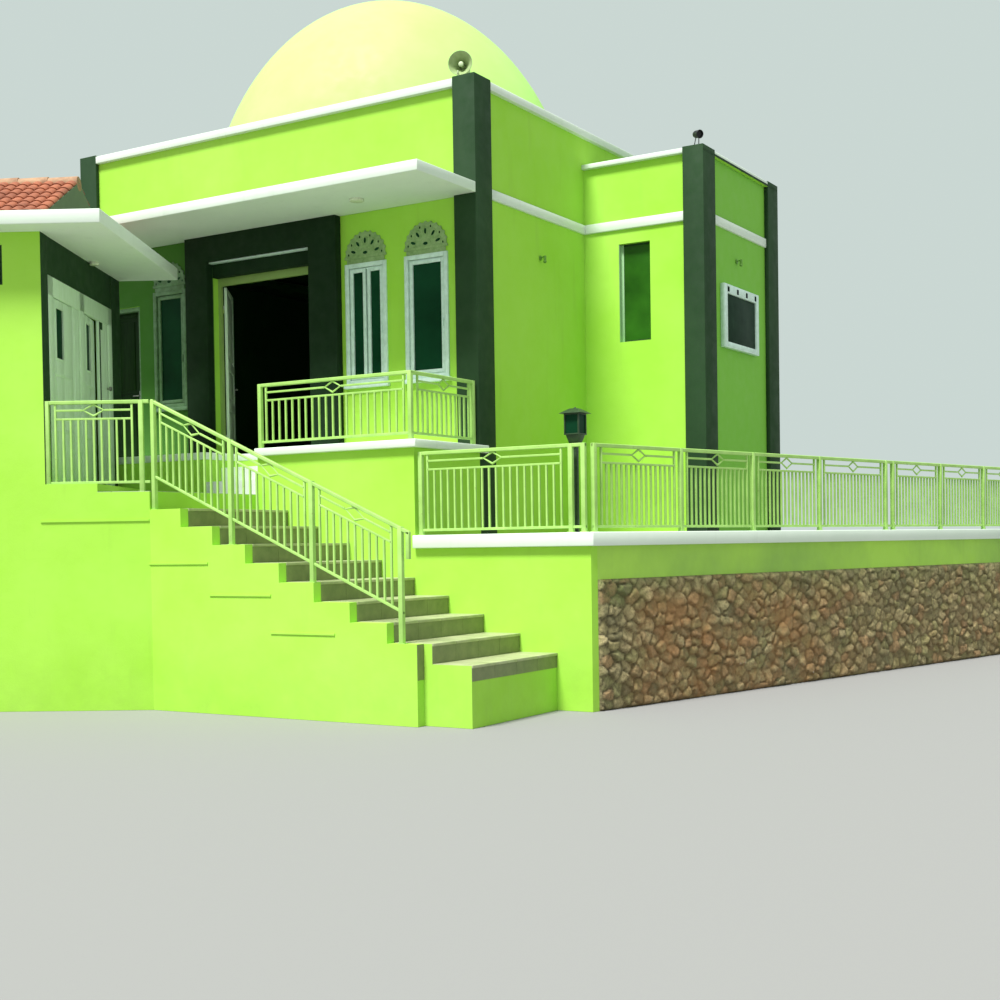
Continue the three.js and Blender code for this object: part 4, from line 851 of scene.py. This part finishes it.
for side in (0, 1):
    deselect()
    bpy.ops.mesh.primitive_cylinder_add(vertices=16, radius=1, depth=1, end_fill_type="NOTHING",
                                        rotation=(math.pi / 2, 0, 0))
    tile = bpy.context.object
    settle()
    edit_all()
    bpy.ops.mesh.bisect(plane_co=(0, 0, 0), plane_no=(0, 0, 1), clear_inner=True)
    bpy.ops.object.mode_set(mode="OBJECT")
    row_length = slope_length / rows
    tile.scale = (pitch_x * 0.52, row_length * 1.12, 0.042)
    settle()
    for vertex in tile.data.vertices:
        if vertex.co.y > 0:
            vertex.co.x *= 0.86
            vertex.co.z -= 0.014
    thick = tile.modifiers.new("thick", "SOLIDIFY")
    thick.thickness = 0.012
    thick.offset = -1
    bpy.ops.object.modifier_apply(modifier=thick.name)
    tile.location = (pitch_x / 2, row_length * 0.5, 0.01)
    settle()
    for axis, number, step in ((0, columns, pitch_x), (1, rows, row_length * 0.985)):
        copies = tile.modifiers.new("copies", "ARRAY")
        copies.use_relative_offset = False
        copies.use_constant_offset = True
        copies.constant_offset_displace = (step if axis == 0 else 0, step if axis == 1 else 0, 0)
        copies.count = number
        bpy.ops.object.modifier_apply(modifier=copies.name)
    tile.rotation_euler = (slope, 0, 0)
    settle()
    if side:
        tile.rotation_euler = (0, 0, math.pi)
        tile.location = (annex_right - annex_left, 2 * ridge_y, 0)
        settle()
    tile.location = (annex_left, 0, bed_low)
    settle()
    on_annex("annex_tiles_%d" % side, [tile], clay, "roof_tile")
capping = mottled("ridge_capping", (9.0, 6.0), (186, 150, 116), (150, 112, 86), ((60.0,), 0.3, 0.004),
                  span=(0.35, 0.68), roughness=0.85)
caps = 9
cap_length = (annex_right - annex_left) / caps
ridge = []
for index in range(caps):
    cap_x = annex_left + index * cap_length
    ridge.append(rod((cap_x, ridge_y, ridge_z - 0.030), (cap_x + cap_length, ridge_y, ridge_z - 0.018),
                     0.088, 20, 0.006))
on_annex("annex_ridge", ridge, capping, "roof_tile")
vent_left, vent_right, vent_low, vent_high = -1.9895, -1.5605, 4.6565, 5.0895
louvres = [block((vent_left, 0.118, vent_low), (vent_right, 0.130, vent_high))]
louvres += frame_bars(vent_left, vent_right, vent_low, vent_high, 0.010, 0.120, 0.02, 0.002)
for index in range(6):
    slat = block((-1.975, 0.025, 4.69 + index * 0.065), (-1.575, 0.105, 4.70 + index * 0.065))
    for vertex in slat.data.vertices:
        vertex.co.z += 0.5 * (vertex.co.y - 0.065)
    louvres.append(slat)
on_annex("annex_vent_louvres", louvres, dark_paint, "dark_render")

# Rubble retaining wall along the road: flat brown-grey stones, some rust-brown, fitted close, their
# faces standing proud of thin dark joints. It carries the lime band and the coping.
low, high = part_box("road_stone_wall")
road_turn = math.radians(13.5)
porch_depth = 1.381
road_start = Vector((corner_x + 2.2, corner_y - porch_depth, 0))
road_length = 10.2
stone_top = high.z
stone, stone_tree, stone_shader = bare_material("rubble_stone", 0.88)
tint = node(stone_tree, "ShaderNodeVertexColor", layer_name="stone_tint")
flecks = ramp(stone_tree, noise(stone_tree, 15.0, 8.0, 0.75), 0.44, 0.62, 0.0, 0.62)
dark_flecks = blend_colour(stone_tree, flecks, tint.outputs["Color"], srgb(92, 80, 52))
glints = ramp(stone_tree, noise(stone_tree, 22.0, 7.0, 0.75), 0.54, 0.68, 0.0, 0.5)
rough_tone = blend_colour(stone_tree, glints, dark_flecks, srgb(196, 176, 128))
stone_place = node(stone_tree, "ShaderNodeTexCoord")
stone_split = node(stone_tree, "ShaderNodeSeparateXYZ")
stone_tree.links.new(stone_place.outputs["Object"], stone_split.inputs[0])


def product(tree, first, second):
    made = node(tree, "ShaderNodeMath", operation="MULTIPLY")
    tree.links.new(first, made.inputs[0])
    tree.links.new(second, made.inputs[1])
    return made.outputs[0]


under_band = ramp(stone_tree, stone_split.outputs["Z"], 0.95, 1.4, 0.0, 0.8)
near_corner = ramp(stone_tree, stone_split.outputs["Y"], road_start.y + 0.4, road_start.y + 1.5, 1.0, 0.35)
green_clouds = ramp(stone_tree, noise(stone_tree, 3.2, 5.0, 0.65), 0.36, 0.6)
green_patches = product(stone_tree, product(stone_tree, under_band, near_corner), green_clouds)
left_half = ramp(stone_tree, stone_split.outputs["Y"], road_start.y + 3.4, road_start.y + 5.2, 0.9, 0.25)
off_corner = ramp(stone_tree, stone_split.outputs["Y"], road_start.y + 0.35, road_start.y + 0.9)
below_top = ramp(stone_tree, stone_split.outputs["Z"], 1.05, 1.36, 0.85, 0.15)
red_clouds = product(stone_tree, off_corner, ramp(stone_tree, noise(stone_tree, 1.7, 6.0, 0.7), 0.36, 0.60))
red_patches = product(stone_tree, product(stone_tree, left_half, below_top), red_clouds)
dry_moss = blend_colour(stone_tree, red_patches, rough_tone, srgb(190, 138, 86))
moss = blend_colour(stone_tree, green_patches, dry_moss, srgb(128, 150, 76))
stone_tree.links.new(moss, stone_shader.inputs["Base Color"])
bumped(stone_tree, stone_shader, ((noise(stone_tree, 13.0, 8.0, 0.75), 1.0, 0.07),
                                  (noise(stone_tree, 90.0, 4.0, 0.7), 0.5, 0.008)))
wear(("road_stone_wall",), stone)
random.seed(7)
mathutils.noise.seed_set(7)
across, upward = 520, 72
rubble_length = road_length - 0.1
seeds = np.empty((0, 2))
for _ in range(9000):
    spot = np.array((random.uniform(-0.1, rubble_length + 0.1), random.uniform(-0.1, stone_top + 0.1)))
    if not len(seeds) or np.hypot((seeds[:, 0] - spot[0]) * 0.72,
                                  seeds[:, 1] - spot[1]).min() > random.uniform(0.075, 0.155):
        seeds = np.vstack((seeds, spot))
stones = mathutils.kdtree.KDTree(len(seeds))
for index, spot in enumerate(seeds):
    stones.insert((spot[0] * 0.72, spot[1], 0), index)
stones.balance()
palette = ((0.56, 0.47, 0.21), (0.44, 0.37, 0.18), (0.66, 0.54, 0.27), (0.36, 0.31, 0.15),
           (0.52, 0.44, 0.21), (0.46, 0.42, 0.18))
brown = (0.56, 0.36, 0.17)
tints = []
crowns = []
leans = []
for _ in seeds:
    base = brown if random.random() < 0.15 else random.choice(palette)
    tone = random.uniform(0.75, 1.15)
    tints.append([channel * tone for channel in base])
    crowns.append(random.uniform(0.012, 0.044))
    leans.append((random.uniform(-0.2, 0.2), random.uniform(-0.3, 0.12)))
tints, crowns, leans = np.array(tints), np.array(crowns), np.array(leans)
deselect()
bpy.ops.mesh.primitive_grid_add(x_subdivisions=across, y_subdivisions=upward, size=1)
rubble = bpy.context.object
count = len(rubble.data.vertices)
nearest = np.empty(count, dtype=int)
rise = np.empty(count)
for index, vertex in enumerate(rubble.data.vertices):
    a = (vertex.co.x + 0.5) * rubble_length
    h = (vertex.co.y + 0.5) * stone_top
    bent = mathutils.noise.noise_vector(Vector((a * 7, h * 7, 0))) * 0.028
    (_, first, near), (_, _, far) = stones.find_n(((a + bent.x) * 0.72, h + bent.y, 0), 2)
    grain = mathutils.noise.fractal(Vector((a * 11, h * 15, 3.0)), 0.7, 2.1, 4)
    edge = min(max((far - near - 0.003) / 0.030, 0), 1)
    rise[index] = edge * (2 - edge)
    nearest[index] = first
    lean = (a - seeds[first, 0]) * leans[first, 0] + (h - seeds[first, 1]) * leans[first, 1]
    out = rise[index] * (crowns[first] + min(max(lean, -0.012), 0.012)) + 0.009 * grain + 0.008
    border = min(a, rubble_length - a, h, stone_top - h)
    vertex.co = (a, -0.001 - max(out, 0.001) * min(border / 0.03, 1), h)
colours = rubble.data.color_attributes.new("stone_tint", "FLOAT_COLOR", "POINT")
joint_tone = np.array((0.24, 0.20, 0.10))
mixed = joint_tone[None, :] * (1 - rise[:, None]) + tints[nearest] * rise[:, None]
colours.data.foreach_set("color", np.concatenate([mixed, np.ones((count, 1))],
                                                 axis=1).astype(np.float32).ravel())
rubble.name = "rubble_face"
rubble.data.materials.append(stone)
edit_all()
bpy.ops.mesh.extrude_region_move(TRANSFORM_OT_translate={"value": (0, 0.02, 0)})
bpy.ops.mesh.select_all(action="SELECT")
bpy.ops.mesh.normals_make_consistent(inside=False)
bpy.ops.object.mode_set(mode="OBJECT")
bpy.ops.object.shade_smooth()
rubble.location = (0.1, 0, 0)
settle()
placed(rubble, road_start, math.pi / 2 - road_turn)
carried(rubble, "building", "rubble_stone")


# Railings of welded square tube, brushed with pale green enamel: posts, a hand rail and a bottom rail,
# and between the posts panels of upright bars under a band with an open diamond in it.
rail_paint, rail_tree, rail_shader = bare_material("rail_enamel", 0.5)
rail_tone = blend_colour(rail_tree, ramp(rail_tree, noise(rail_tree, 5.0, 5.0), 0.35, 0.7),
                         srgb(174, 216, 116), srgb(154, 198, 98))
rust = blend_colour(rail_tree, ramp(rail_tree, noise(rail_tree, 34.0, 6.0), 0.66, 0.76, 0.0, 0.7),
                    rail_tone, srgb(112, 92, 58))
rail_tree.links.new(rust, rail_shader.inputs["Base Color"])
bumped(rail_tree, rail_shader, ((noise(rail_tree, 140.0), 0.12, 0.001),))


def slanted(low_corner, high_corner, slope, ease=0.003):
    """A bar along x that rises or falls with a slope through x = 0."""
    piece = block(low_corner, high_corner)
    for vertex in piece.data.vertices:
        vertex.co.z += slope * vertex.co.x
    if ease:
        apply_bevel(piece, ease, 1)
    return piece


def railing_parts(length, height, bottom, pitch, posts, panels, slope=0.0, feet=None, beyond=0.0):
    parts = [slanted((0, -0.02, height - 0.04), (length + beyond, 0.02, height), slope, 0.006),
             slanted((0, -0.014, bottom - 0.028), (length, 0.014, bottom), slope)]
    for x, foot in zip(posts, feet or [0.0] * len(posts)):
        parts.append(block((x - 0.025, -0.025, foot + 0.0006),
                           (x + 0.025, 0.025, height + slope * x - 0.001), 0.005))
        parts.append(block((x - 0.04, -0.0248, foot + 0.0006), (x + 0.04, 0.0248, foot + 0.007)))
    for start, end in panels:
        centre = (start + end) / 2
        half = min(0.130, (end - start) / 2 - 0.022)
        for x in (start, end):
            lift = slope * x
            parts.append(block((x - 0.011, -0.011, bottom - 0.004 + lift),
                               (x + 0.011, 0.011, height - 0.02 + lift), 0.002))
        parts.append(slanted((start, -0.011, height - 0.212), (end, 0.011, height - 0.19), slope))
        parts.append(slanted((start, -0.011, height - 0.117),
                             (centre - half + 0.008, 0.011, height - 0.095), slope))
        parts.append(slanted((centre + half - 0.008, -0.011, height - 0.117), (end, 0.011, height - 0.095),
                             slope))
        diamond = ring((centre, 0, height - 0.106), half - 0.017, 0.063, 0.028, 0.018, False, 4)
        for vertex in diamond.data.vertices:
            vertex.co.z += slope * vertex.co.x
        parts.append(diamond)
        gaps = round((end - start) / pitch)
        for index in range(1, gaps):
            x = start + (end - start) * index / gaps
            parts.append(block((x - 0.01, -0.01, bottom - 0.004 + slope * x),
                               (x + 0.01, 0.01, height - 0.194 + slope * x)))
    return parts


def railing(name, parts, origin, turn, *replaced):
    carried(placed(joined(name, parts, rail_paint), origin, turn), "building", "railing_paint", *replaced)


inset = 0.034
porch_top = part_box("porch_slab")[1].z
front_y = corner_y - porch_depth + inset
porch_length = 2.228
railing("porch_rail", railing_parts(porch_length, 0.77, 0.09, 0.098, [0.025, porch_length - 0.025],
                                    [(0.115, porch_length - 0.115)]),
        (corner_x - 2.262, front_y, porch_top), 0, "porch_railing_front")
railing("porch_rail_return", railing_parts(1.292, 0.77, 0.09, 0.098, [1.267], [(0.115, 1.177)]),
        (corner_x - 0.059, front_y + 0.0254, porch_top), math.pi / 2, "porch_railing_side")
landing_z = 2.386
turned_start = Matrix.Rotation(annex_turn, 4, "Z") @ Vector((-1.1406, inset, 0))
railing("landing_rail", railing_parts(1.1466, 1.0, 0.12, 0.088, [0.025, 1.0566], [(0.115, 0.9566)], 0.0,
                                      [0.094, 0.0]),
        (annex_origin[0] + turned_start.x, annex_origin[1] + turned_start.y, landing_z), annex_turn,
        "landing_railing")
riser, going = 0.1984, 0.45
stair_slope = -riser / going
top_x = corner_x - 2.261
nosing_x = corner_x + 1.777
nosing_z = 0.600
posts = [0.025, 1.125, 2.200, 3.290]
feet = [nosing_z + math.floor((nosing_x - top_x - x) / going) * riser - landing_z for x in posts]
stair_rail = railing_parts(3.315, 1.004, 0.19, 0.088, posts,
                           [(0.130, 1.030), (1.210, 2.110), (2.300, 3.180)], stair_slope, feet, 0.085)
tip_z = 1.004 + stair_slope * 3.4
stair_rail.append(block((3.36, -0.02, tip_z - 0.27), (3.3995, 0.02, tip_z - 0.006), 0.004))
railing("stair_rail", stair_rail, (top_x, corner_y - 3.115, landing_z), 0, "stair_railing")
terrace_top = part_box("terrace_coping")[1].z
railing("terrace_rail", railing_parts(2.091, 0.925, 0.07, 0.088, [0.025, 1.916, 2.066], [(0.115, 1.801)]),
        (corner_x + 0.044, front_y, terrace_top), 0, "terrace_railing")
posts = [0.025, 1.490, 2.870, 4.310, 5.920, 6.110, 7.420, 8.720, 9.975]
bays = [(a + 0.115, b - 0.115) for a, b in zip(posts, posts[1:]) if b - a > 0.5]
start = Matrix.Rotation(math.pi / 2 - road_turn, 4, "Z") @ Vector((0.1, 0.054, 0))
railing("road_rail", railing_parts(10.0, 0.925, 0.07, 0.08, posts, bays),
        (road_start.x + start.x, road_start.y + start.y, terrace_top), math.pi / 2 - road_turn, "road_railing")

# Outside stair: treads of pale floor tile with a worn nosing over risers of dark tile, laid on the
# concrete flight.
tread_tile = mottled("tread_tile", (7.0, 6.0), (178, 184, 138), (152, 160, 114), ((60.0,), 0.15, 0.002),
                     span=(0.3, 0.72), roughness=0.5)
riser_tile = mottled("riser_tile", (9.0, 5.0), (108, 118, 76), (128, 136, 90), ((60.0,), 0.15, 0.002),
                     roughness=0.45)
stair_low, stair_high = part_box("stair_flight")
wear(("stair_flight",), lime_paint)
treads = []
risers = []
tiles_across = 4
span = (stair_high.y - stair_low.y) / tiles_across
for step in range(9):
    z = nosing_z + step * riser
    right = nosing_x - step * going
    foot = z - riser + 0.003 if step else ground_drop
    for index in range(tiles_across):
        y0 = stair_low.y + index * span + 0.001
        y1 = y0 + span - 0.003
        treads.append(block((right - going + 0.005, y0, z - 0.024), (right + 0.014, y1, z + 0.004), 0.003))
        risers.append(block((right - 0.02, y0, foot), (right + 0.004, y1, z - 0.025)))
stringer_low, stringer_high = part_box("stair_stringer")
risers.append(block((stringer_high.x - 0.004, stringer_low.y + 0.004, ground_drop),
                    (stringer_high.x + 0.003, stringer_high.y - 0.002, 0.796)))
fixed("stair_treads", treads, tread_tile, "floor_tile")
fixed("stair_risers", risers, riser_tile, "floor_tile")
wear(("porch_steps",), white_paint)

# Thin plaster ledges along the lime side of the stair and of the landing, where the wall steps back
# as it rises.
ledges = []
for a, b, z in ((-2.31, -1.44, 1.607), (-1.42, -0.58, 1.271), (-0.59, 0.24, 0.886)):
    ledges.append(block((corner_x + a, stringer_low.y - 0.012, z - 0.02),
                        (corner_x + b, stringer_low.y + 0.004, z)))
landing_ledge = placed(block((-1.2, -0.012, 2.065), (-0.01, 0.004, 2.085)), annex_origin, annex_turn)
ledges.append(landing_ledge)
fixed("stair_ledges", ledges, lime_paint, "wall_render")

# Floors of pale tile in the hall, in the wing and on the porch, and on the landing: thin squares with
# dark joints, laid on the filled plinths. The terrace has a bare screed.
floor_tile, tile_tree, tile_shader = bare_material("floor_tile", 0.3)
place = node(tile_tree, "ShaderNodeTexCoord")
joints = node(tile_tree, "ShaderNodeTexBrick", offset=0.0)
joints.inputs["Scale"].default_value = 1.0
joints.inputs["Brick Width"].default_value = 0.4
joints.inputs["Row Height"].default_value = 0.4
joints.inputs["Mortar Size"].default_value = 0.004
joints.inputs["Color1"].default_value = srgb(206, 208, 196)
joints.inputs["Color2"].default_value = srgb(192, 196, 182)
joints.inputs["Mortar"].default_value = srgb(112, 112, 104)
tile_tree.links.new(place.outputs["Object"], joints.inputs["Vector"])
worn = blend_colour(tile_tree, ramp(tile_tree, noise(tile_tree, 1.5, 5.0), 0.45, 0.75, 0.0, 0.35),
                    joints.outputs["Color"], srgb(140, 136, 120))
tile_tree.links.new(worn, tile_shader.inputs["Base Color"])
bumped(tile_tree, tile_shader, ((joints.outputs["Fac"], 0.3, 0.002),))
floor_z = hall_low.z
tile_thick = 0.004
wall_and_gap = 0.155
hall_tiles = block((hall_low.x + wall_and_gap, hall_low.y + wall_and_gap, floor_z),
                   (hall_high.x - wall_and_gap, hall_high.y - wall_and_gap, floor_z + tile_thick))
wing_tiles = block((wing_low.x + 0.005, wing_low.y + wall_and_gap, floor_z),
                   (wing_high.x - wall_and_gap, wing_high.y - wall_and_gap, floor_z + tile_thick))
porch_tiles = block((corner_x - 2.20, corner_y - 1.24, porch_top),
                    (corner_x - 0.34, corner_y - 0.07, porch_top + tile_thick))
fixed("floor_tiles", [hall_tiles, wing_tiles, porch_tiles], floor_tile, "floor_tile")


def topping(node_name, level, name, material, slot):
    """A thin layer over the level faces of a built piece at a given height."""
    piece = loose_copy(node_name)
    bpy.context.scene.tool_settings.mesh_select_mode = (False, False, True)
    for polygon in piece.data.polygons:
        polygon.select = not (polygon.normal.z > 0.99 and abs(polygon.center.z - level) < 0.002)
    bpy.ops.object.mode_set(mode="EDIT")
    bpy.ops.mesh.delete(type="FACE")
    bpy.ops.mesh.select_all(action="SELECT")
    bpy.ops.mesh.remove_doubles(threshold=0.0002)
    bpy.ops.mesh.extrude_region_move(TRANSFORM_OT_translate={"value": (0, 0, tile_thick)})
    bpy.ops.mesh.select_all(action="SELECT")
    bpy.ops.mesh.normals_make_consistent(inside=False)
    bpy.ops.object.mode_set(mode="OBJECT")
    bpy.context.scene.tool_settings.mesh_select_mode = (True, False, False)
    fixed(name, [piece], material, slot)


topping("landing_base", landing_z, "landing_tiles", floor_tile, "floor_tile")
screed = mottled("terrace_screed", (1.4, 6.0), (150, 150, 134), (118, 120, 102), ((40.0, 5.0), 0.3, 0.004),
                 roughness=0.85)
topping("terrace_base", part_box("terrace_base")[1].z, "terrace_floor", screed, "floor_tile")

# Small fittings: two bracket lamps on the right-hand walls with their cup and bulb, painted over with
# the wall, and round white lamps under the canopy and the annex slab.
lamp_white = mottled("lamp_glass", (30.0,), (230, 236, 214), (206, 216, 184), roughness=0.25)
lamp_metal = mottled("lamp_metal", (30.0,), (116, 168, 66), (92, 136, 56), roughness=0.5, metallic=0.3)


def bulb(centre, radius):
    deselect()
    bpy.ops.mesh.primitive_uv_sphere_add(segments=20, ring_count=12, radius=radius, location=centre)
    piece = bpy.context.object
    settle()
    return piece


for index, (face_x, y, z) in enumerate(((corner_x - 0.06, corner_y + 1.63, 5.43),
                                        (corner_x + 1.658, corner_y + 4.04, 5.57))):
    metal = [rod((face_x, y, z), (face_x + 0.016, y, z), 0.032, 20, 0.003),
             rod((face_x + 0.01, y, z), (face_x + 0.075, y, z + 0.02), 0.008),
             rod((face_x + 0.072, y, z + 0.022), (face_x + 0.072, y, z - 0.035), 0.018, 16, 0.003)]
    fixed("bracket_lamp_%d" % index, metal, lamp_metal, "loudspeaker")
    fixed("bracket_bulb_%d" % index, [bulb((face_x + 0.072, y, z - 0.052), 0.022)], lamp_metal, "loudspeaker")
canopy_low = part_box("front_canopy")[0].z
x, y = corner_x - 1.36, corner_y - 0.54
parts = [rod((x, y, canopy_low + 0.001), (x, y, canopy_low - 0.03), 0.09, 28, 0.006)]
slab_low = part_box("annex_slab")[0].z
spot = Matrix.Rotation(annex_turn, 4, "Z") @ Vector((-1.07, 1.70, 0)) + Vector(annex_origin)
parts.append(rod((spot.x, spot.y, slab_low + 0.001), (spot.x, spot.y, slab_low - 0.04), 0.055, 24, 0.006))
fixed("soffit_lamps", parts, lamp_white, "board")


# Horn loudspeaker of spun sheet metal on the hall's parapet, painted grey-green, its mouth turned to
# the street. A paler reflector stands in the mouth; a strap and a short foot hold it to the coping.
def turned(profile, segments=36):
    """A body turned about y, from pairs of a radius and a place along y, listed from axis to axis."""
    deselect()
    bpy.ops.mesh.primitive_grid_add(x_subdivisions=len(profile) - 1, y_subdivisions=segments, size=1)
    piece = bpy.context.object
    for vertex in piece.data.vertices:
        radius, place_along = profile[round((vertex.co.x + 0.5) * (len(profile) - 1))]
        angle = 2 * math.pi * (vertex.co.y + 0.5)
        vertex.co = (radius * math.cos(angle), place_along, radius * math.sin(angle))
    edit_all()
    bpy.ops.mesh.remove_doubles(threshold=0.00001)
    bpy.ops.mesh.normals_make_consistent(inside=False)
    bpy.ops.object.mode_set(mode="OBJECT")
    return piece


horn_paint = mottled("horn_paint", (12.0, 5.0), (172, 192, 136), (150, 172, 112), roughness=0.5,
                     metallic=0.1)
reflector_paint = mottled("reflector_paint", (20.0,), (204, 220, 178), (184, 202, 156), roughness=0.45)
bell = turned([(0, 0.33), (0.050, 0.33), (0.055, 0.325), (0.055, 0.247), (0.050, 0.240), (0.039, 0.236),
               (0.040, 0.21), (0.045, 0.18), (0.055, 0.15), (0.070, 0.12), (0.089, 0.088),
               (0.112, 0.058), (0.132, 0.033), (0.147, 0.013), (0.1495, 0.004), (0.148, 0.0005),
               (0.144, 0.0005), (0.138, 0.008), (0.122, 0.030), (0.100, 0.056), (0.079, 0.085),
               (0.060, 0.116), (0.046, 0.146), (0.034, 0.17), (0.030, 0.19), (0, 0.19)])
horn_z = 7.524
coping_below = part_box("hall_coping")[1].z - horn_z
holder = [rod((0, 0.13, coping_below + 0.0005), (0, 0.13, -0.056), 0.015),
          block((-0.045, 0.09, coping_below + 0.0005), (0.045, 0.17, coping_below + 0.006), 0.002),
          block((-0.062, 0.116, -0.066), (0.062, 0.144, -0.060), 0.002),
          block((-0.064, 0.118, -0.065), (-0.058, 0.142, 0.012), 0.002),
          block((0.058, 0.118, -0.065), (0.064, 0.142, 0.012), 0.002)]
horn_spot = (corner_x - 0.232, corner_y + 0.060, horn_z)
carried(placed(joined("horn_bell", [bell] + holder, horn_paint), horn_spot, math.radians(20)), "building",
        "loudspeaker", "loudspeaker_horn")
reflector = turned([(0, 0.195), (0.017, 0.195), (0.019, 0.10), (0.026, 0.06), (0.031, 0.048),
                    (0.031, 0.045), (0.026, 0.040), (0.014, 0.036), (0, 0.035)], 28)
clip = rod((-0.03, 0.012, -0.128), (-0.03, 0.004, -0.088), 0.011, 14, 0.004)
carried(placed(joined("horn_reflector", [reflector, clip], reflector_paint), horn_spot, math.radians(20)),
        "building", "board")

# A small black loudspeaker, rounded at the back and tilted up, on two bent legs of rod that stand on
# the wing's coping.
low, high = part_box("small_loudspeaker")
middle = (low + high) / 2
black_box = mottled("speaker_black", (18.0,), (14, 18, 22), (26, 30, 34), roughness=0.5)
body_z = high.z - 0.11
shell = turned([(0, 0.066), (0.024, 0.064), (0.040, 0.054), (0.047, 0.035), (0.050, 0.0),
                (0.052, -0.040), (0.056, -0.056), (0.054, -0.060), (0.047, -0.058), (0.040, -0.030),
                (0, -0.020)], 28)
shell.rotation_euler = (math.radians(12), 0, math.radians(58))
shell.location = (middle.x + 0.012, middle.y, body_z)
alone(shell)
settle()
legs = []
for side in (-1, 1):
    knee = (middle.x + side * 0.030, middle.y, low.z + 0.06)
    legs.append(rod((middle.x + side * 0.016, middle.y, low.z + 0.0006), knee, 0.006, 10))
    legs.append(rod(knee, (middle.x + 0.012 + side * 0.02, middle.y, body_z - 0.03), 0.006, 10))
legs.append(block((middle.x - 0.04, middle.y - 0.017, low.z + 0.0006),
                  (middle.x + 0.04, middle.y + 0.017, low.z + 0.006)))
fixed("small_speaker_body", [shell] + legs, black_box, "loudspeaker", "small_loudspeaker")

# Garden lantern on a square post at the terrace's corner: cast metal painted dark green, four panes
# between corner bars, and a flared cap with a knob.
low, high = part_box("garden_lantern")
middle = (low + high) / 2
lantern_paint = mottled("lantern_paint", (16.0,), (34, 56, 34), (54, 78, 46), roughness=0.4, metallic=0.2)


def centred(half, z0, z1, ease=0.0):
    """A square block about the lantern's axis."""
    return block((middle.x - half, middle.y - half, z0), (middle.x + half, middle.y + half, z1), ease)


def square_taper(half_low, half_high, z0, z1):
    deselect()
    bpy.ops.mesh.primitive_cone_add(vertices=4, radius1=half_low * math.sqrt(2),
                                    radius2=half_high * math.sqrt(2), depth=z1 - z0,
                                    location=(middle.x, middle.y, (z0 + z1) / 2), rotation=(0, 0, math.pi / 4))
    piece = bpy.context.object
    settle()
    apply_bevel(piece, 0.003)
    return piece


cast = [centred(0.025, low.z + 0.0006, 2.79, 0.004),
        centred(0.045, low.z + 0.0006, low.z + 0.010, 0.002),
        square_taper(0.045, 0.075, 2.78, 2.884), square_taper(0.130, 0.045, 3.107, 3.160),
        centred(0.089, 2.884, 2.898, 0.003),
        centred(0.089, 3.094, 3.1075, 0.003),
        bulb((middle.x, middle.y, 3.162), 0.014)]
for side_x in (-1, 1):
    for side_y in (-1, 1):
        x, y = middle.x + side_x * 0.080, middle.y + side_y * 0.080
        cast.append(block((x - 0.008, y - 0.008, 2.89), (x + 0.008, y + 0.008, 3.10), 0.002))
fixed("lantern_cast", cast, lantern_paint, "loudspeaker", "garden_lantern")
panes = [centred(0.077, 2.8985, 3.0935)]
fixed("lantern_panes", panes, dark_glass_and_shade, "white_joinery")
